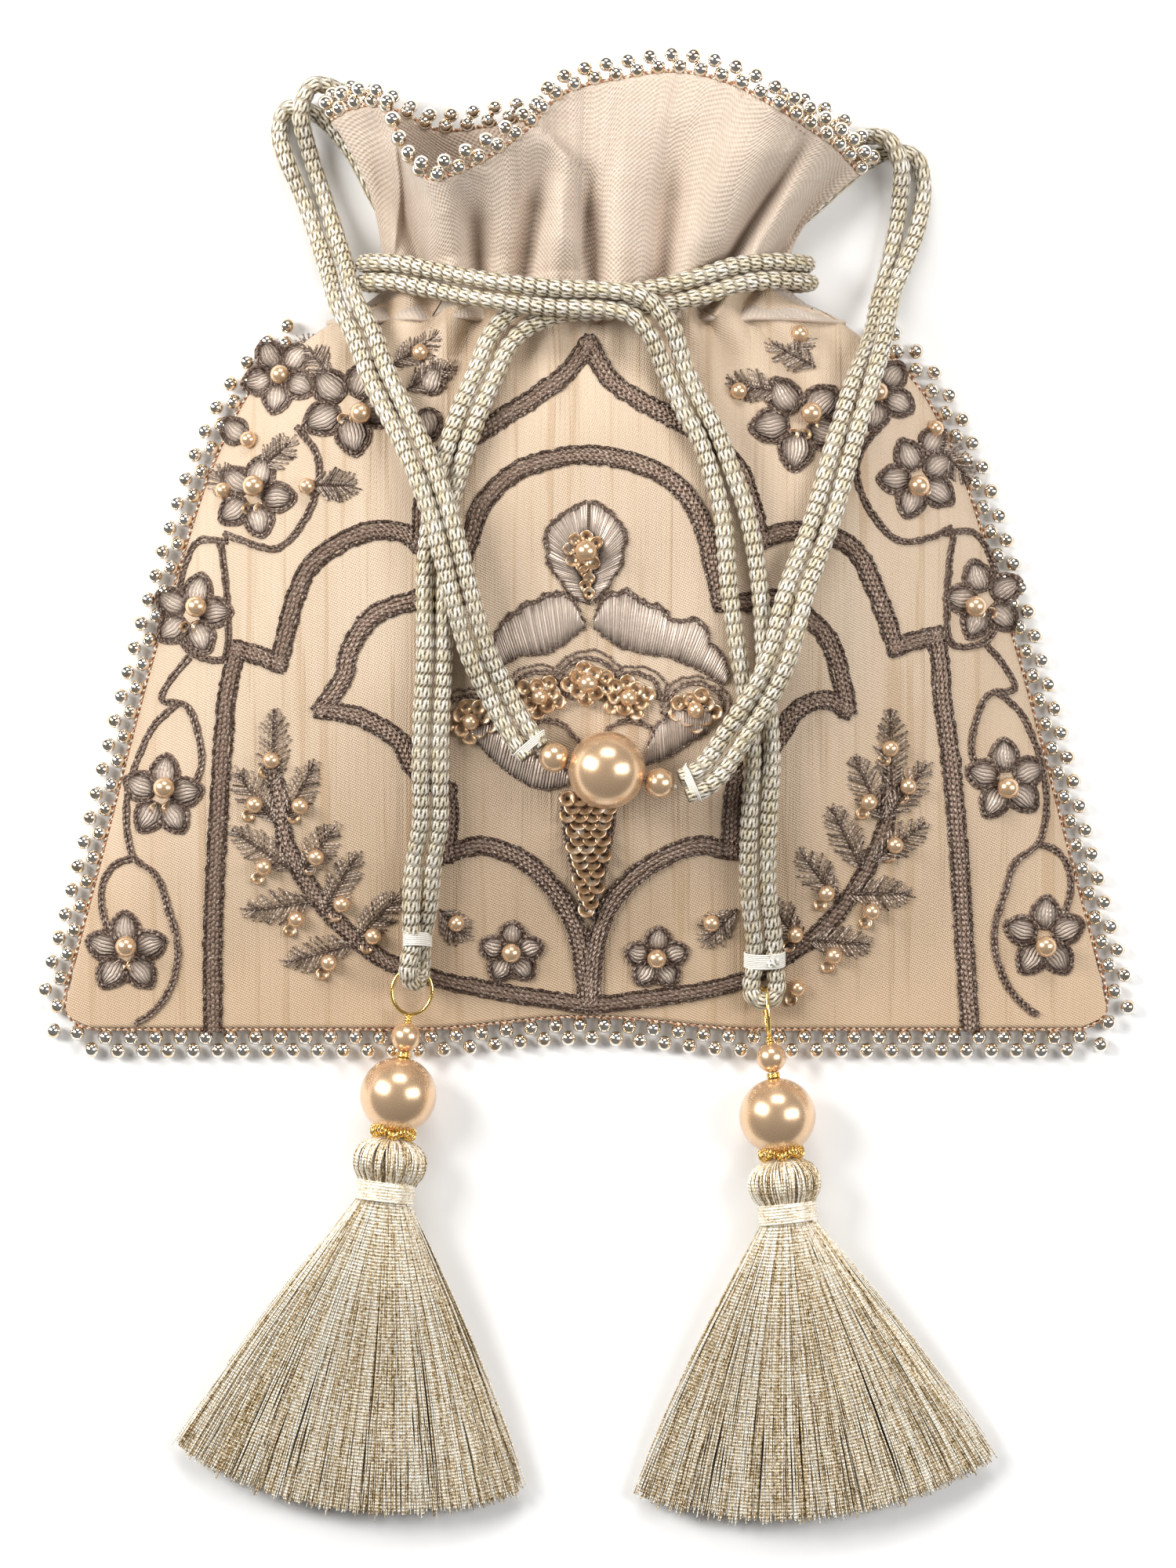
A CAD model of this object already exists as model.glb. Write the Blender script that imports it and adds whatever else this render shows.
import math

import bpy
import numpy as np
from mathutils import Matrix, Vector


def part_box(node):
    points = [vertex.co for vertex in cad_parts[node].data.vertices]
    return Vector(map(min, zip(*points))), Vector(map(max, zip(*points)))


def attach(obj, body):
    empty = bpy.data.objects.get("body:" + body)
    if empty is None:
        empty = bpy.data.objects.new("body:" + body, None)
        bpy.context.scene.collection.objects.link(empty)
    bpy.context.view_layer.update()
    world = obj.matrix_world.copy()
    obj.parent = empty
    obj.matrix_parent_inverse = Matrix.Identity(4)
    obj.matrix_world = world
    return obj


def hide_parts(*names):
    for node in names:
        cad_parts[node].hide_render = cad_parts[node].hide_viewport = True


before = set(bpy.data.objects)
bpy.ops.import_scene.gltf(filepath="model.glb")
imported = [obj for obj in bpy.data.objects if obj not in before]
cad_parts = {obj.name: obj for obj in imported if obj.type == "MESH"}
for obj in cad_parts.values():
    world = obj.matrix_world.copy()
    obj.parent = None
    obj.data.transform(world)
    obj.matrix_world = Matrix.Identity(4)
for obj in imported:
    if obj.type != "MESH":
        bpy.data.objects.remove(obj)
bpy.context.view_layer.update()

# ---- Table, light and camera ------------------------------------------------------------
# The bag lies on its back on a pale table, under two tall soft boxes and a wide one above.
# A long lens looks straight down on it from 1.6 m.
MM = 0.001
TABLE_LIFT = -0.2
TABLE_HALF = 3
LAMPS_AIM = Vector((0, -0.03, 0))
LENS, SENSOR = 180, 36
CAMERA_PLACE = (0.0004, -0.0472, 1.612)
ROOM_COLOUR, ROOM_STRENGTH = (1, 0.99, 0.98, 1), 0.2


def lamp(name, place, size, power, colour=(1, 1, 1)):
    data = bpy.data.lights.new(name, "AREA")
    data.shape = "RECTANGLE"
    data.size, data.size_y = size
    data.energy = power
    data.color = colour
    item = bpy.data.objects.new(name, data)
    bpy.context.collection.objects.link(item)
    item.location = place
    item.rotation_euler = (LAMPS_AIM - Vector(place)).to_track_quat("-Z", "Y").to_euler()


lamp("left_soft_box", (-0.72, 0.26, 0.58), (0.34, 0.6), 10.4, (1, 0.985, 0.96))
lamp("right_soft_box", (0.66, 0.02, 0.66), (0.3, 0.6), 5.2, (1, 0.99, 0.98))
lamp("top_soft_box", (0.05, 0.75, 0.6), (0.5, 0.3), 4.8, (1, 0.98, 0.96))

camera_data = bpy.data.cameras.new("camera")
camera_data.lens = LENS
camera_data.sensor_width = SENSOR
camera = bpy.data.objects.new("camera", camera_data)
bpy.context.collection.objects.link(camera)
camera.location = CAMERA_PLACE
bpy.context.scene.camera = camera
bpy.context.scene.view_settings.view_transform = "Standard"

world = bpy.data.worlds.new("studio")
world.use_nodes = True
room = world.node_tree.nodes["Background"]
room.inputs["Color"].default_value = ROOM_COLOUR
room.inputs["Strength"].default_value = ROOM_STRENGTH
bpy.context.scene.world = world


class Value:
    """One socket in a finish. Sums and products of values add their own nodes."""

    def __init__(self, finish, socket):
        self.finish = finish
        self.socket = socket

    def also(self, output):
        return Value(self.finish, self.socket.node.outputs[output])

    def maths(self, operation, *others):
        return self.finish.sums(operation, self, *others)

    def __add__(self, other): return self.maths("ADD", other)
    def __radd__(self, other): return self.maths("ADD", other)
    def __sub__(self, other): return self.maths("SUBTRACT", other)
    def __rsub__(self, other): return self.finish.sums("SUBTRACT", other, self)
    def __mul__(self, other): return self.maths("MULTIPLY", other)
    def __rmul__(self, other): return self.maths("MULTIPLY", other)


class Finish:
    """A material of one real finish, built from nodes around a Principled shader."""

    def __init__(self, name, roughness=0.5, metallic=0.0, **constants):
        self.material = bpy.data.materials.new(name)
        self.material.use_nodes = True
        self.tree = self.material.node_tree
        self.shader = self.tree.nodes["Principled BSDF"]
        self.set("Roughness", roughness)
        self.set("Metallic", metallic)
        for socket, amount in constants.items():
            self.set(socket.replace("_", " "), amount)

    def set(self, socket, value):
        if isinstance(value, Value):
            self.tree.links.new(value.socket, self.shader.inputs[socket])
        elif isinstance(value, tuple) and len(value) == 3:
            self.shader.inputs[socket].default_value = (*value, 1)
        else:
            self.shader.inputs[socket].default_value = value

    def node(self, kind, settings, inputs, output=0):
        made = self.tree.nodes.new(kind)
        for setting, choice in settings.items():
            if setting == "stops":
                while len(made.color_ramp.elements) < len(choice):
                    made.color_ramp.elements.new(1)
                for element, (place, colour) in zip(made.color_ramp.elements, choice):
                    element.position = place
                    element.color = (*colour, 1)
            else:
                setattr(made, setting, choice)
        for socket, value in inputs.items():
            if isinstance(value, Value):
                self.tree.links.new(value.socket, made.inputs[socket])
            elif isinstance(value, tuple) and made.inputs[socket].type == "RGBA":
                made.inputs[socket].default_value = (*value, 1)
            else:
                made.inputs[socket].default_value = value
        return Value(self, made.outputs[output])

    def sums(self, operation, *values):
        return self.node("ShaderNodeMath", {"operation": operation}, dict(enumerate(values)))

    def mix(self, factor, a, b):
        """Colour a where factor is 0, colour b where it is 1."""
        return self.node("ShaderNodeMix", {"data_type": "RGBA"}, {0: factor, 6: a, 7: b}, output=2)

    def ramp(self, factor, *stops):
        return self.node("ShaderNodeValToRGB", {"stops": stops}, {"Fac": factor})

    def kept(self, name):
        """A number that the mesh carries at each of its points."""
        return self.node("ShaderNodeAttribute", {"attribute_name": name}, {}, "Fac")

    def place(self, scale=(1, 1, 1)):
        """Where a point lies in the bag, in millimetres times scale."""
        spot = self.node("ShaderNodeTexCoord", {}, {}, "Object")
        return self.node("ShaderNodeMapping", {}, {"Vector": spot, "Scale": tuple(s / MM for s in scale)})

    def noise(self, vector, scale, detail=2.0, rough=0.5):
        inputs = {"Vector": vector, "Scale": scale, "Detail": detail, "Roughness": rough}
        return self.node("ShaderNodeTexNoise", {}, inputs)

    def bump(self, height, depth, strength=1.0):
        """Relief of the surface, with depth in millimetres."""
        inputs = {"Height": height, "Distance": depth * MM, "Strength": strength}
        self.set("Normal", self.node("ShaderNodeBump", {}, inputs))


def piece(name, points, faces, finish, body, slot, stands_for=(), **carried):
    """A mesh piece from points in millimetres, with numbers carried on its points."""
    mesh = bpy.data.meshes.new(name)
    mesh.from_pydata((np.asarray(points, float) * MM).tolist(), [], [list(map(int, f)) for f in faces])
    for label, numbers in carried.items():
        layer = mesh.attributes.new(label, "FLOAT", "POINT")
        layer.data.foreach_set("value", np.asarray(numbers, np.float32))
    mesh.polygons.foreach_set("use_smooth", [True] * len(mesh.polygons))
    mesh.materials.append(finish.material)
    mesh.validate()
    item = bpy.data.objects.new(name, mesh)
    bpy.context.collection.objects.link(item)
    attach(item, body)
    if stands_for:
        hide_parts(*stands_for)
    return item


table = Finish("pale_table", roughness=0.9)
speckle = table.noise(table.place(), 0.05)
table.set("Base Color", table.mix(speckle, (0.93, 0.93, 0.93), (0.96, 0.96, 0.96)))
table_mesh = bpy.data.meshes.new("table_top")
corners = [(x * TABLE_HALF, y * TABLE_HALF, TABLE_LIFT * MM) for x, y in ((-1, -1), (1, -1), (1, 1), (-1, 1))]
table_mesh.from_pydata(corners, [], [(0, 1, 2, 3)])
table_mesh.materials.append(table.material)
table_top = bpy.data.objects.new("table_top", table_mesh)
bpy.context.collection.objects.link(table_top)

# ---- Knitted cords ------------------------------------------------------------------------
# Drawstring and handles are one tubular cord, 3.6 mm thick, knitted from silvery gilt thread.
# The drawstring is one ring: it runs round the outside of the neck and hangs as a pair on each
# side, doubled back inside a white whipping. Each handle pair starts behind the neck's side seam.
CORD_D = 3.6
SIDE_BY_SIDE = CORD_D / 2 + 0.15
BUTT = 0.6
KNIT_PITCH = 2.5
KNIT_COLUMNS = 6
KNIT_SIDES = 24
KNIT_STEP = 0.51
# Points of the drawstring, from the left bend round the neck to the right one: x, y, z, and where they
# differ from the usual, half the pair's spacing and the pair's turn in degrees
DRAWSTRING = [
    (-34.4, -79, 12.2, 1.95, 60), (-33.9, -72.8, 14.6, 1.95, 25), (-33, -63.2, 17.3), (-31.6, -55.2, 20),
    (-31.6, -46.4, 22.4), (-31.3, -33.8, 25.1), (-30.6, -21.1, 27), (-30.6, -12, 27.8), (-30.4, -2.4, 28.4),
    (-29.2, 8.8, 28.6), (-26.8, 18.4, 28.4), (-23.6, 28, 27.6), (-20.1, 36.3, 26.6), (-17.6, 42.4, 25.4, 2.2),
    (-13, 47.2, 24.5, 2.3), (-6, 49.8, 24.2, 2.1), (2, 50.4, 24.3), (9.5, 50.8, 24), (16, 51.8, 23.4),
    (23, 53.6, 22.2), (31.3, 56.3, 19.8), (38.5, 57.2, 17), (43.6, 57.2, 13.4), (45.6, 57.2, 8.6),
    (44, 57.2, 4.8), (40, 57.2, 2.5), (35, 57.2, 2.1), (24, 57.2, 2.1), (8, 57.2, 2.1), (-8, 57.2, 2.1),
    (-24, 57.2, 2.1), (-35, 57.2, 2.1), (-40, 57.2, 2.5), (-44, 57.2, 4.8), (-45.6, 57.2, 8.6),
    (-43.6, 57.2, 13.6), (-38.4, 56.8, 17.2), (-33.5, 55.7, 19.8), (-26.4, 54, 24), (-18.6, 52.4, 28),
    (-11, 51.4, 28.8), (-4.4, 50.9, 28.8), (4, 50.6, 28.8), (10.4, 49.2, 29.2, 2.2), (15, 44.4, 28.6, 2.3),
    (18, 36.8, 27), (21.2, 29.6, 27.4), (24.7, 23.2, 28), (27.6, 15.2, 28.4, 2.1), (30, 7.4, 28.4, 2.5),
    (32.1, -8.5, 27.6, 3.1), (33.5, -21.1, 26.6, 2.6), (34.8, -31.2, 25.2, 2), (35.7, -40, 23.4),
    (35.2, -53, 20.2), (35, -63.2, 17), (35.3, -70.9, 14.2), (36.2, -77.4, 11.6), (36.5, -83, 9.5),
]
LEFT_EYE = (-35, -84.8, 10.8)
RIGHT_EYE = (36.4, -89, 8.1)
LEFT_BEND_RADIUS = 3
RIGHT_BEND_RADIUS = 2.65
LEFT_BEND_TURN = math.radians(62)
LEFT_PAIR = [
    (-59, 81.4, 3.8, 2.5), (-56, 73.4, 3, 2.1), (-53.2, 65, 4.6), (-51, 58.4, 9), (-49, 51.4, 15.6),
    (-44.8, 43.2, 19.8), (-42.2, 36, 23.4), (-38.8, 29, 26.4), (-35.6, 22.8, 29.6), (-33, 17, 32),
    (-30.3, 10, 33), (-27.6, 0.8, 33.2), (-24.7, -10.4, 32.4), (-21.8, -20.6, 30), (-17.6, -29.2, 28),
    (-13.6, -36.4, 28.2), (-10.2, -40.6, 28.9),
]
RIGHT_PAIR = [
    (65.9, 67.4, 3.2, 2.2), (63.9, 60, 4.4, 1.95, 35), (61.4, 52.4, 6.4, 1.95, 55), (60, 46.2, 10.6, 1.95, 55),
    (58.8, 41.6, 14.8, 1.95, 45), (56.6, 35.6, 18.8, 1.95, 20), (52.1, 21.3, 23.2), (47.9, 6.6, 25.8),
    (45.2, -0.8, 27.4), (42.5, -8, 30), (40.6, -15.4, 31.4), (38.5, -22.7, 31.2), (35.8, -28.5, 30.2),
    (33.2, -32.8, 29.4), (29.8, -38, 28.4), (26.6, -43, 27.8), (23.4, -46.2, 28.5), (19.6, -47.8, 28.9),
]
HANDLE_TOPS = {
    "left_inner": [
        (-34, 66, 2.1), (-39, 77, 2.1), (-44.5, 88, 2.1), (-50.5, 95, 3), (-56, 96, 5.6), (-58.4, 90.6, 6.3),
    ],
    "left_outer": [
        (-38, 63.4, 2.1), (-43.4, 74, 2.1), (-49.4, 84.4, 2.1), (-56, 90.6, 2.1), (-61.4, 91.4, 2.1),
        (-63, 86.8, 2.1),
    ],
    "right_inner": [
        (34, 66, 2.1), (41.6, 75, 2.1), (50, 82.4, 2.1), (57.4, 85.6, 3.2), (62, 84.6, 6), (64.4, 79.6, 6),
        (64.4, 73.4, 4),
    ],
    "right_outer": [
        (38, 63.4, 2.1), (47.4, 72, 2.1), (56.4, 79.6, 2.1), (62.6, 82.6, 2.1), (67.4, 81.4, 2.1),
        (69.2, 76.4, 2.1),
    ],
}


def unit(v):
    v = np.asarray(v, float)
    return v / np.maximum(np.linalg.norm(v, axis=-1, keepdims=True), 1e-9)


def distance_along(line):
    """How far along a line each of its points is."""
    return np.concatenate([[0], np.cumsum(np.linalg.norm(np.diff(line, axis=0), axis=1))])


def smooth_line(points, step):
    """A smooth line through points, cut into even steps."""
    p = np.asarray(points, float)
    p = np.vstack([2 * p[0] - p[1], p, 2 * p[-1] - p[-2]])
    run = []
    for a, b, c, d in zip(p, p[1:], p[2:], p[3:]):
        t0 = 0
        t1 = t0 + max(np.linalg.norm(b - a), 1e-6) ** 0.5
        t2 = t1 + max(np.linalg.norm(c - b), 1e-6) ** 0.5
        t3 = t2 + max(np.linalg.norm(d - c), 1e-6) ** 0.5
        t = np.linspace(t1, t2, max(4, int(np.linalg.norm(c - b) / step * 2)), endpoint=False)[:, None]
        a1 = (t1 - t) / (t1 - t0) * a + (t - t0) / (t1 - t0) * b
        a2 = (t2 - t) / (t2 - t1) * b + (t - t1) / (t2 - t1) * c
        a3 = (t3 - t) / (t3 - t2) * c + (t - t2) / (t3 - t2) * d
        b1 = (t2 - t) / (t2 - t0) * a1 + (t - t0) / (t2 - t0) * a2
        b2 = (t3 - t) / (t3 - t1) * a2 + (t - t1) / (t3 - t1) * a3
        run.append((t2 - t) / (t2 - t1) * b1 + (t - t1) / (t2 - t1) * b2)
    run = np.vstack(run + [p[-2:-1]])
    far = distance_along(run)
    count = max(2, int(round(far[-1] / step)) + 1)
    marks = np.linspace(0, far[-1], count)
    return np.stack([np.interp(marks, far, run[:, k]) for k in range(run.shape[1])], axis=1)


def carried_frames(path):
    """Two square directions across a path, carried along it without twist."""
    run = unit(np.gradient(path, axis=0))
    side = np.zeros_like(run)
    first = np.array((0.0, 0, 1))
    if abs(first @ run[0]) > 0.95:
        first = np.array((1.0, 0, 0))
    side[0] = unit(first - run[0] * (first @ run[0]))
    for i in range(1, len(path)):
        side[i] = unit(side[i - 1] - run[i] * (side[i - 1] @ run[i]))
    return side, np.cross(run, side)


def strand(route, side):
    """One of the two cords of a pair: half the gap and a turn are given at each point."""
    places = np.array([p[:3] for p in route], float)
    level = None
    out = []
    for i, point in enumerate(route):
        half = point[3] if len(point) > 3 else SIDE_BY_SIDE
        turn = math.radians(point[4]) if len(point) > 4 else 0
        run = unit(places[min(i + 1, len(places) - 1)] - places[max(i - 1, 0)])
        level = np.array((run[1], -run[0], 0)) if level is None else level
        level = unit(level - run * (level @ run))
        upright = np.cross(run, level)
        out.append(places[i] + side * half * (level * math.cos(turn) + upright * math.sin(turn)))
    return out


def tube_faces(rings, sides, closed=False):
    """Faces of a tube of rings, with end caps unless its last ring meets the first."""
    faces = []
    for j in range(rings if closed else rings - 1):
        here, there = j * sides, ((j + 1) % rings) * sides
        for i in range(sides):
            k = (i + 1) % sides
            faces.append((here + i, here + k, there + k, there + i))
    if not closed:
        faces.append(tuple(range(sides - 1, -1, -1)))
        faces.append(tuple((rings - 1) * sides + i for i in range(sides)))
    return faces


def knit(path, radius):
    """Tube of V-shaped stitches in columns along a path: points, faces, relief and tone."""
    across, over = carried_frames(path)
    far = distance_along(path)
    turn = np.linspace(0, 2 * np.pi, KNIT_SIDES, endpoint=False)
    column = turn / (2 * np.pi) * KNIT_COLUMNS
    inside = column % 1 - 0.5
    rise = far[:, None] / KNIT_PITCH + 1.5 * np.abs(inside)[None, :]
    leg = np.sin(np.pi * (rise % 1)) ** 0.7
    groove = 0.55 + 0.45 * np.abs(np.sin(2 * np.pi * inside))[None, :] ** 0.6
    height = leg * groove
    wander = 1 + 0.03 * np.sin(far / 5.3)[:, None] + 0.02 * np.sin(far / 1.9 + 1)[:, None]
    r = radius * (0.80 + 0.26 * height) * wander
    points = (
        path[:, None, :]
        + across[:, None, :] * (r * np.cos(turn))[..., None]
        + over[:, None, :] * (r * np.sin(turn))[..., None]
    )
    stitch = np.floor(rise) * 7.13 + np.floor(column)[None, :] * 3.77 + np.sign(inside)[None, :] * 1.31
    tone = np.abs(np.sin(stitch * 12.9898) * 43758.5453) % 1
    return points.reshape(-1, 3), tube_faces(len(path), KNIT_SIDES), height.ravel(), tone.ravel()


gilt_knit = Finish("knitted_silver_gilt", roughness=0.36, metallic=0.35)
stitch_height = gilt_knit.kept("relief")
stitch_tone = gilt_knit.kept("tone")
thread_grain = gilt_knit.noise(gilt_knit.place(), 1.9, 3, 0.75)
yarn = gilt_knit.mix(stitch_tone, (0.76, 0.66, 0.45), (1.0, 0.97, 0.91))
yarn = gilt_knit.mix((thread_grain - 0.52) * 5.0, yarn, (0.36, 0.265, 0.12))
hollow = gilt_knit.ramp(stitch_height + (thread_grain - 0.5) * 0.35, (0.34, (0, 0, 0)), (0.68, (1, 1, 1)))
gilt_knit.set("Base Color", gilt_knit.mix(hollow, (0.12, 0.085, 0.04), yarn))
gilt_knit.set("Roughness", 0.28 + 0.3 * thread_grain)
gilt_knit.bump(thread_grain + stitch_height * 0.6, 0.25, 0.8)


def knitted_cord(name, points, stands_for, with_pieces=()):
    """A length of the cord; a free one is declared with its length."""
    path = smooth_line(points, KNIT_STEP)
    mesh_points, faces, relief, tone = knit(path, CORD_D / 2)
    item = piece(
        name, mesh_points, faces, gilt_knit, "bag", "metallic_cord", stands_for, relief=relief, tone=tone
    )
    return item


def half_bend(eye, across, radius, first, last):
    """The cord's turn back round its ring, with the ends of the two strands."""
    down, across = np.array((0, -1, 0)), np.array(across)
    turn = np.radians(np.arange(0, 181, 30))
    arc = [np.array(eye) + radius * (down * math.sin(t) + across * math.cos(t)) for t in turn]
    return [np.array(first) - (0, BUTT, 0), *arc, np.array(last) - (0, BUTT, 0)]


strand_a = strand(DRAWSTRING, 1)
strand_b = strand(DRAWSTRING, -1)
left_across = (-math.cos(LEFT_BEND_TURN), 0, math.sin(LEFT_BEND_TURN))
left_bend = knitted_cord(
    "left_bend_knit", half_bend(LEFT_EYE, left_across, LEFT_BEND_RADIUS, strand_b[0], strand_a[0]),
    ["left_cord_bend"],
)
right_bend = knitted_cord(
    "right_bend_knit", half_bend(RIGHT_EYE, (1, 0, 0), RIGHT_BEND_RADIUS, strand_b[-1], strand_a[-1]),
    ["right_cord_bend"],
)

# ---- Thread whippings -----------------------------------------------------------------------
# White cotton thread wound round the two cords of a pair where the tassel hangs and where the
# handle runs into its bead. Six or seven close turns, with a small knot on the tassel ones.
TASSEL_WHIP = {"length": 3, "thread": 0.42}
HANDLE_WHIP = {"length": 1.8, "thread": 0.34, "taper": 0.72}
THREAD_SIDES = 6
WHIP_TILT = math.radians(60)

cotton = Finish("white_cotton_thread", roughness=0.75)
lint = cotton.noise(cotton.place(), 3)
cotton.set("Base Color", cotton.mix(lint, (0.72, 0.69, 0.60), (0.93, 0.91, 0.86)))
cotton.bump(lint, 0.15)


def winding(name, centre, run, across, long, short, length, thread, stands_for, taper=1.0, knot=False):
    """Thread wound closely round an oval of half sizes long and short, along run."""
    run = unit(run)
    across = unit(np.asarray(across, float) - run * (np.asarray(across, float) @ run))
    over = np.cross(run, across)
    turns = length / (thread * 0.95)
    t = np.linspace(0, turns * 2 * np.pi, int(turns * 28))
    share = t / t[-1]
    size = 1 + (taper - 1) * share
    path = (
        np.asarray(centre, float)
        + run * ((share - 0.5) * length)[:, None]
        + across * (long * size * np.cos(t))[:, None]
        + over * (short * size * np.sin(t))[:, None]
    )
    if knot:
        k = np.linspace(0, 2 * np.pi, 26)[:, None]
        top = np.asarray(centre) + over * (short + 0.3) + across * long * 0.45
        ball = top + across * 1.0 * np.sin(k) + run * 0.9 * np.sin(2 * k) + over * 0.5 * np.cos(3 * k)
        tail = top + np.outer(np.linspace(0, 1, 9), -run * 3.2 - across * 0.8) + over * 0.3
        path = smooth_line(np.vstack([path, ball, tail]), thread * 0.6)
    side, up = carried_frames(path)
    turn = np.linspace(0, 2 * np.pi, THREAD_SIDES, endpoint=False)
    ring = (side[:, None] * np.cos(turn)[:, None] + up[:, None] * np.sin(turn)[:, None]) * thread / 2
    return piece(
        name, (path[:, None] + ring).reshape(-1, 3), tube_faces(len(path), THREAD_SIDES), cotton, "bag",
        "white_thread", stands_for,
    )


pair_long = SIDE_BY_SIDE + CORD_D / 2 + 0.35
pair_short = CORD_D / 2 + 0.4
left_whip = winding(
    "left_whipping_thread", DRAWSTRING[0][:3], (0, 1, -0.1), (math.cos(WHIP_TILT), 0, -math.sin(WHIP_TILT)),
    pair_long, pair_short, stands_for=["left_cord_whipping"], knot=True, **TASSEL_WHIP,
)
right_whip = winding(
    "right_whipping_thread", DRAWSTRING[-1][:3], (0, -1, -0.3), (1, 0, 0),
    pair_long, pair_short, stands_for=["right_cord_whipping"], knot=True, **TASSEL_WHIP,
)
knitted_cord("drawstring_knit_1", strand_a, ["drawstring_strand_1"], with_pieces=[left_bend, left_whip])
knitted_cord("drawstring_knit_2", strand_b, ["drawstring_strand_2"], with_pieces=[right_bend, right_whip])
for hand, route, inner in (("left", LEFT_PAIR, 1), ("right", RIGHT_PAIR, -1)):
    tip = np.array(route[-1][:3], float)
    back = unit(tip - np.array(route[-2][:3], float))
    whip = winding(
        f"{hand}_handle_whipping_thread", tip - back * 1.5, back, (back[1], -back[0], 0),
        pair_long, pair_short, stands_for=[f"handle_{hand}_whipping"], **HANDLE_WHIP,
    )
    for label, side in (("inner", -inner), ("outer", inner)):
        knitted_cord(
            f"handle_{hand}_{label}_knit",
            HANDLE_TOPS[f"{hand}_{label}"] + [tuple(p) for p in strand(route, side)],
            [f"handle_{hand}_{label}_strand"],
            with_pieces=[whip] if label == "inner" else (),
        )

# ---- Gold pearl beads -----------------------------------------------------------------------
# Glass beads with a satin gold pearl coat: one large bead between two small ones on the handle,
# and a small and a large one above each tassel. Each is a ball with a dimpled thread hole.
HANDLE_CENTRE = (4.2, -44.4, 28.9)
HANDLE_TILT = math.radians(-13.7)
SMALL_R = 3.05
LARGE_R = 7.85
BORE_R = 0.75
SMALL_OFF = LARGE_R + SMALL_R + 0.1

gold_pearl = Finish("gold_pearl_coat", roughness=0.24, metallic=0.72, Coat_Weight=0.5, Coat_Roughness=0.22)
cloud = gold_pearl.noise(gold_pearl.place(), 0.35, 4)
fleck = gold_pearl.noise(gold_pearl.place(), 6, 2)
pearl_colour = gold_pearl.mix(cloud, (0.73, 0.47, 0.27), (0.80, 0.56, 0.35))
gold_pearl.set("Base Color", gold_pearl.mix(fleck * 0.3, pearl_colour, (0.86, 0.66, 0.45)))
gold_pearl.set("Roughness", 0.2 + fleck * 0.12)
gold_pearl.bump(fleck, 0.02, 0.3)


def ball(centre, radius, axis, bore=BORE_R, around=48, rows=26):
    """Points and faces of a bead with a rounded thread hole along axis."""
    axis = unit(axis)
    side = unit(np.cross(axis, (0.3, 0.2, 1)))
    over = np.cross(axis, side)
    low = math.asin(min(0.9, bore / radius))
    angle = np.linspace(low, math.pi - low, rows)
    profile = [(0.72 * bore, -radius * math.cos(low) + 0.9 * bore)]
    profile += [(radius * math.sin(a), -radius * math.cos(a)) for a in angle]
    profile += [(0.72 * bore, radius * math.cos(low) - 0.9 * bore)]
    turn = np.linspace(0, 2 * np.pi, around, endpoint=False)
    rings = [
        np.asarray(centre) + r * (np.cos(turn)[:, None] * side + np.sin(turn)[:, None] * over) + h * axis
        for r, h in profile
    ]
    return np.vstack(rings), tube_faces(len(rings), around)


line = np.array((math.cos(HANDLE_TILT), math.sin(HANDLE_TILT), 0))
for name, body, off, radius in (
    ("handle_large_pearl", "handle_large_bead", 0, LARGE_R),
    ("handle_left_small_pearl", "handle_left_small_bead", -SMALL_OFF, SMALL_R),
    ("handle_right_small_pearl", "handle_right_small_bead", SMALL_OFF, SMALL_R),
):
    points, faces = ball(np.array(HANDLE_CENTRE) + line * off, radius, line)
    piece(name, points, faces, gold_pearl, body, "gold_pearl", [body])

# The thread through the three beads is two strands of the cotton, twisted
winding(
    "handle_bead_thread", HANDLE_CENTRE, line, (0, 0, 1), 0.16, 0.16,
    length=2 * (SMALL_OFF + SMALL_R + 0.4), thread=HANDLE_WHIP["thread"], stands_for=["handle_thread"],
)

# ---- Tassels ----------------------------------------------------------------------------------
# Each hangs by a gold wire eye through the cord's bend: small bead, wire spacer, large bead, a
# frizz of gold bullion, then a head of silky metallic thread bound with a band, and its skirt.
TASSEL_AXIS_Z = 8
EYE_LENGTH = 10.4
SMALL_AT = 14.3
SPACER_AT = 17.9
LARGE_AT = 26.3
BULLION_AT = 33.9
NECK_AT = 44.2
NECK_LENGTH = 4
SKIRT_THREADS = 2150

gold_wire = Finish("gold_wire", roughness=0.16, metallic=1.0)
scuff = gold_wire.noise(gold_wire.place(), 3)
gold_wire.set("Base Color", gold_wire.mix(scuff, (0.85, 0.55, 0.13), (0.95, 0.72, 0.28)))
gold_wire.bump(scuff, 0.03)

tassel_silk = Finish("tassel_metallic_thread", roughness=0.3, metallic=0.5)
strand_tone = tassel_silk.kept("tone")
twist = tassel_silk.kept("along")
glint = tassel_silk.noise(tassel_silk.place(), 1.7, 3, 0.8)
shine = tassel_silk.ramp(
    strand_tone * 0.5 + glint * 2.1 - 0.72,
    (0.12, (0.12, 0.072, 0.025)),
    (0.34, (0.52, 0.37, 0.18)),
    (0.55, (0.84, 0.70, 0.48)),
    (0.74, (1.0, 0.97, 0.88)),
)
tassel_silk.set("Base Color", shine)
tassel_silk.set("Roughness", 0.24 + 0.2 * glint)
tassel_silk.bump(tassel_silk.sums("SINE", twist * 9), 0.05, 0.6)

seeded = np.random.default_rng(11)


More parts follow.
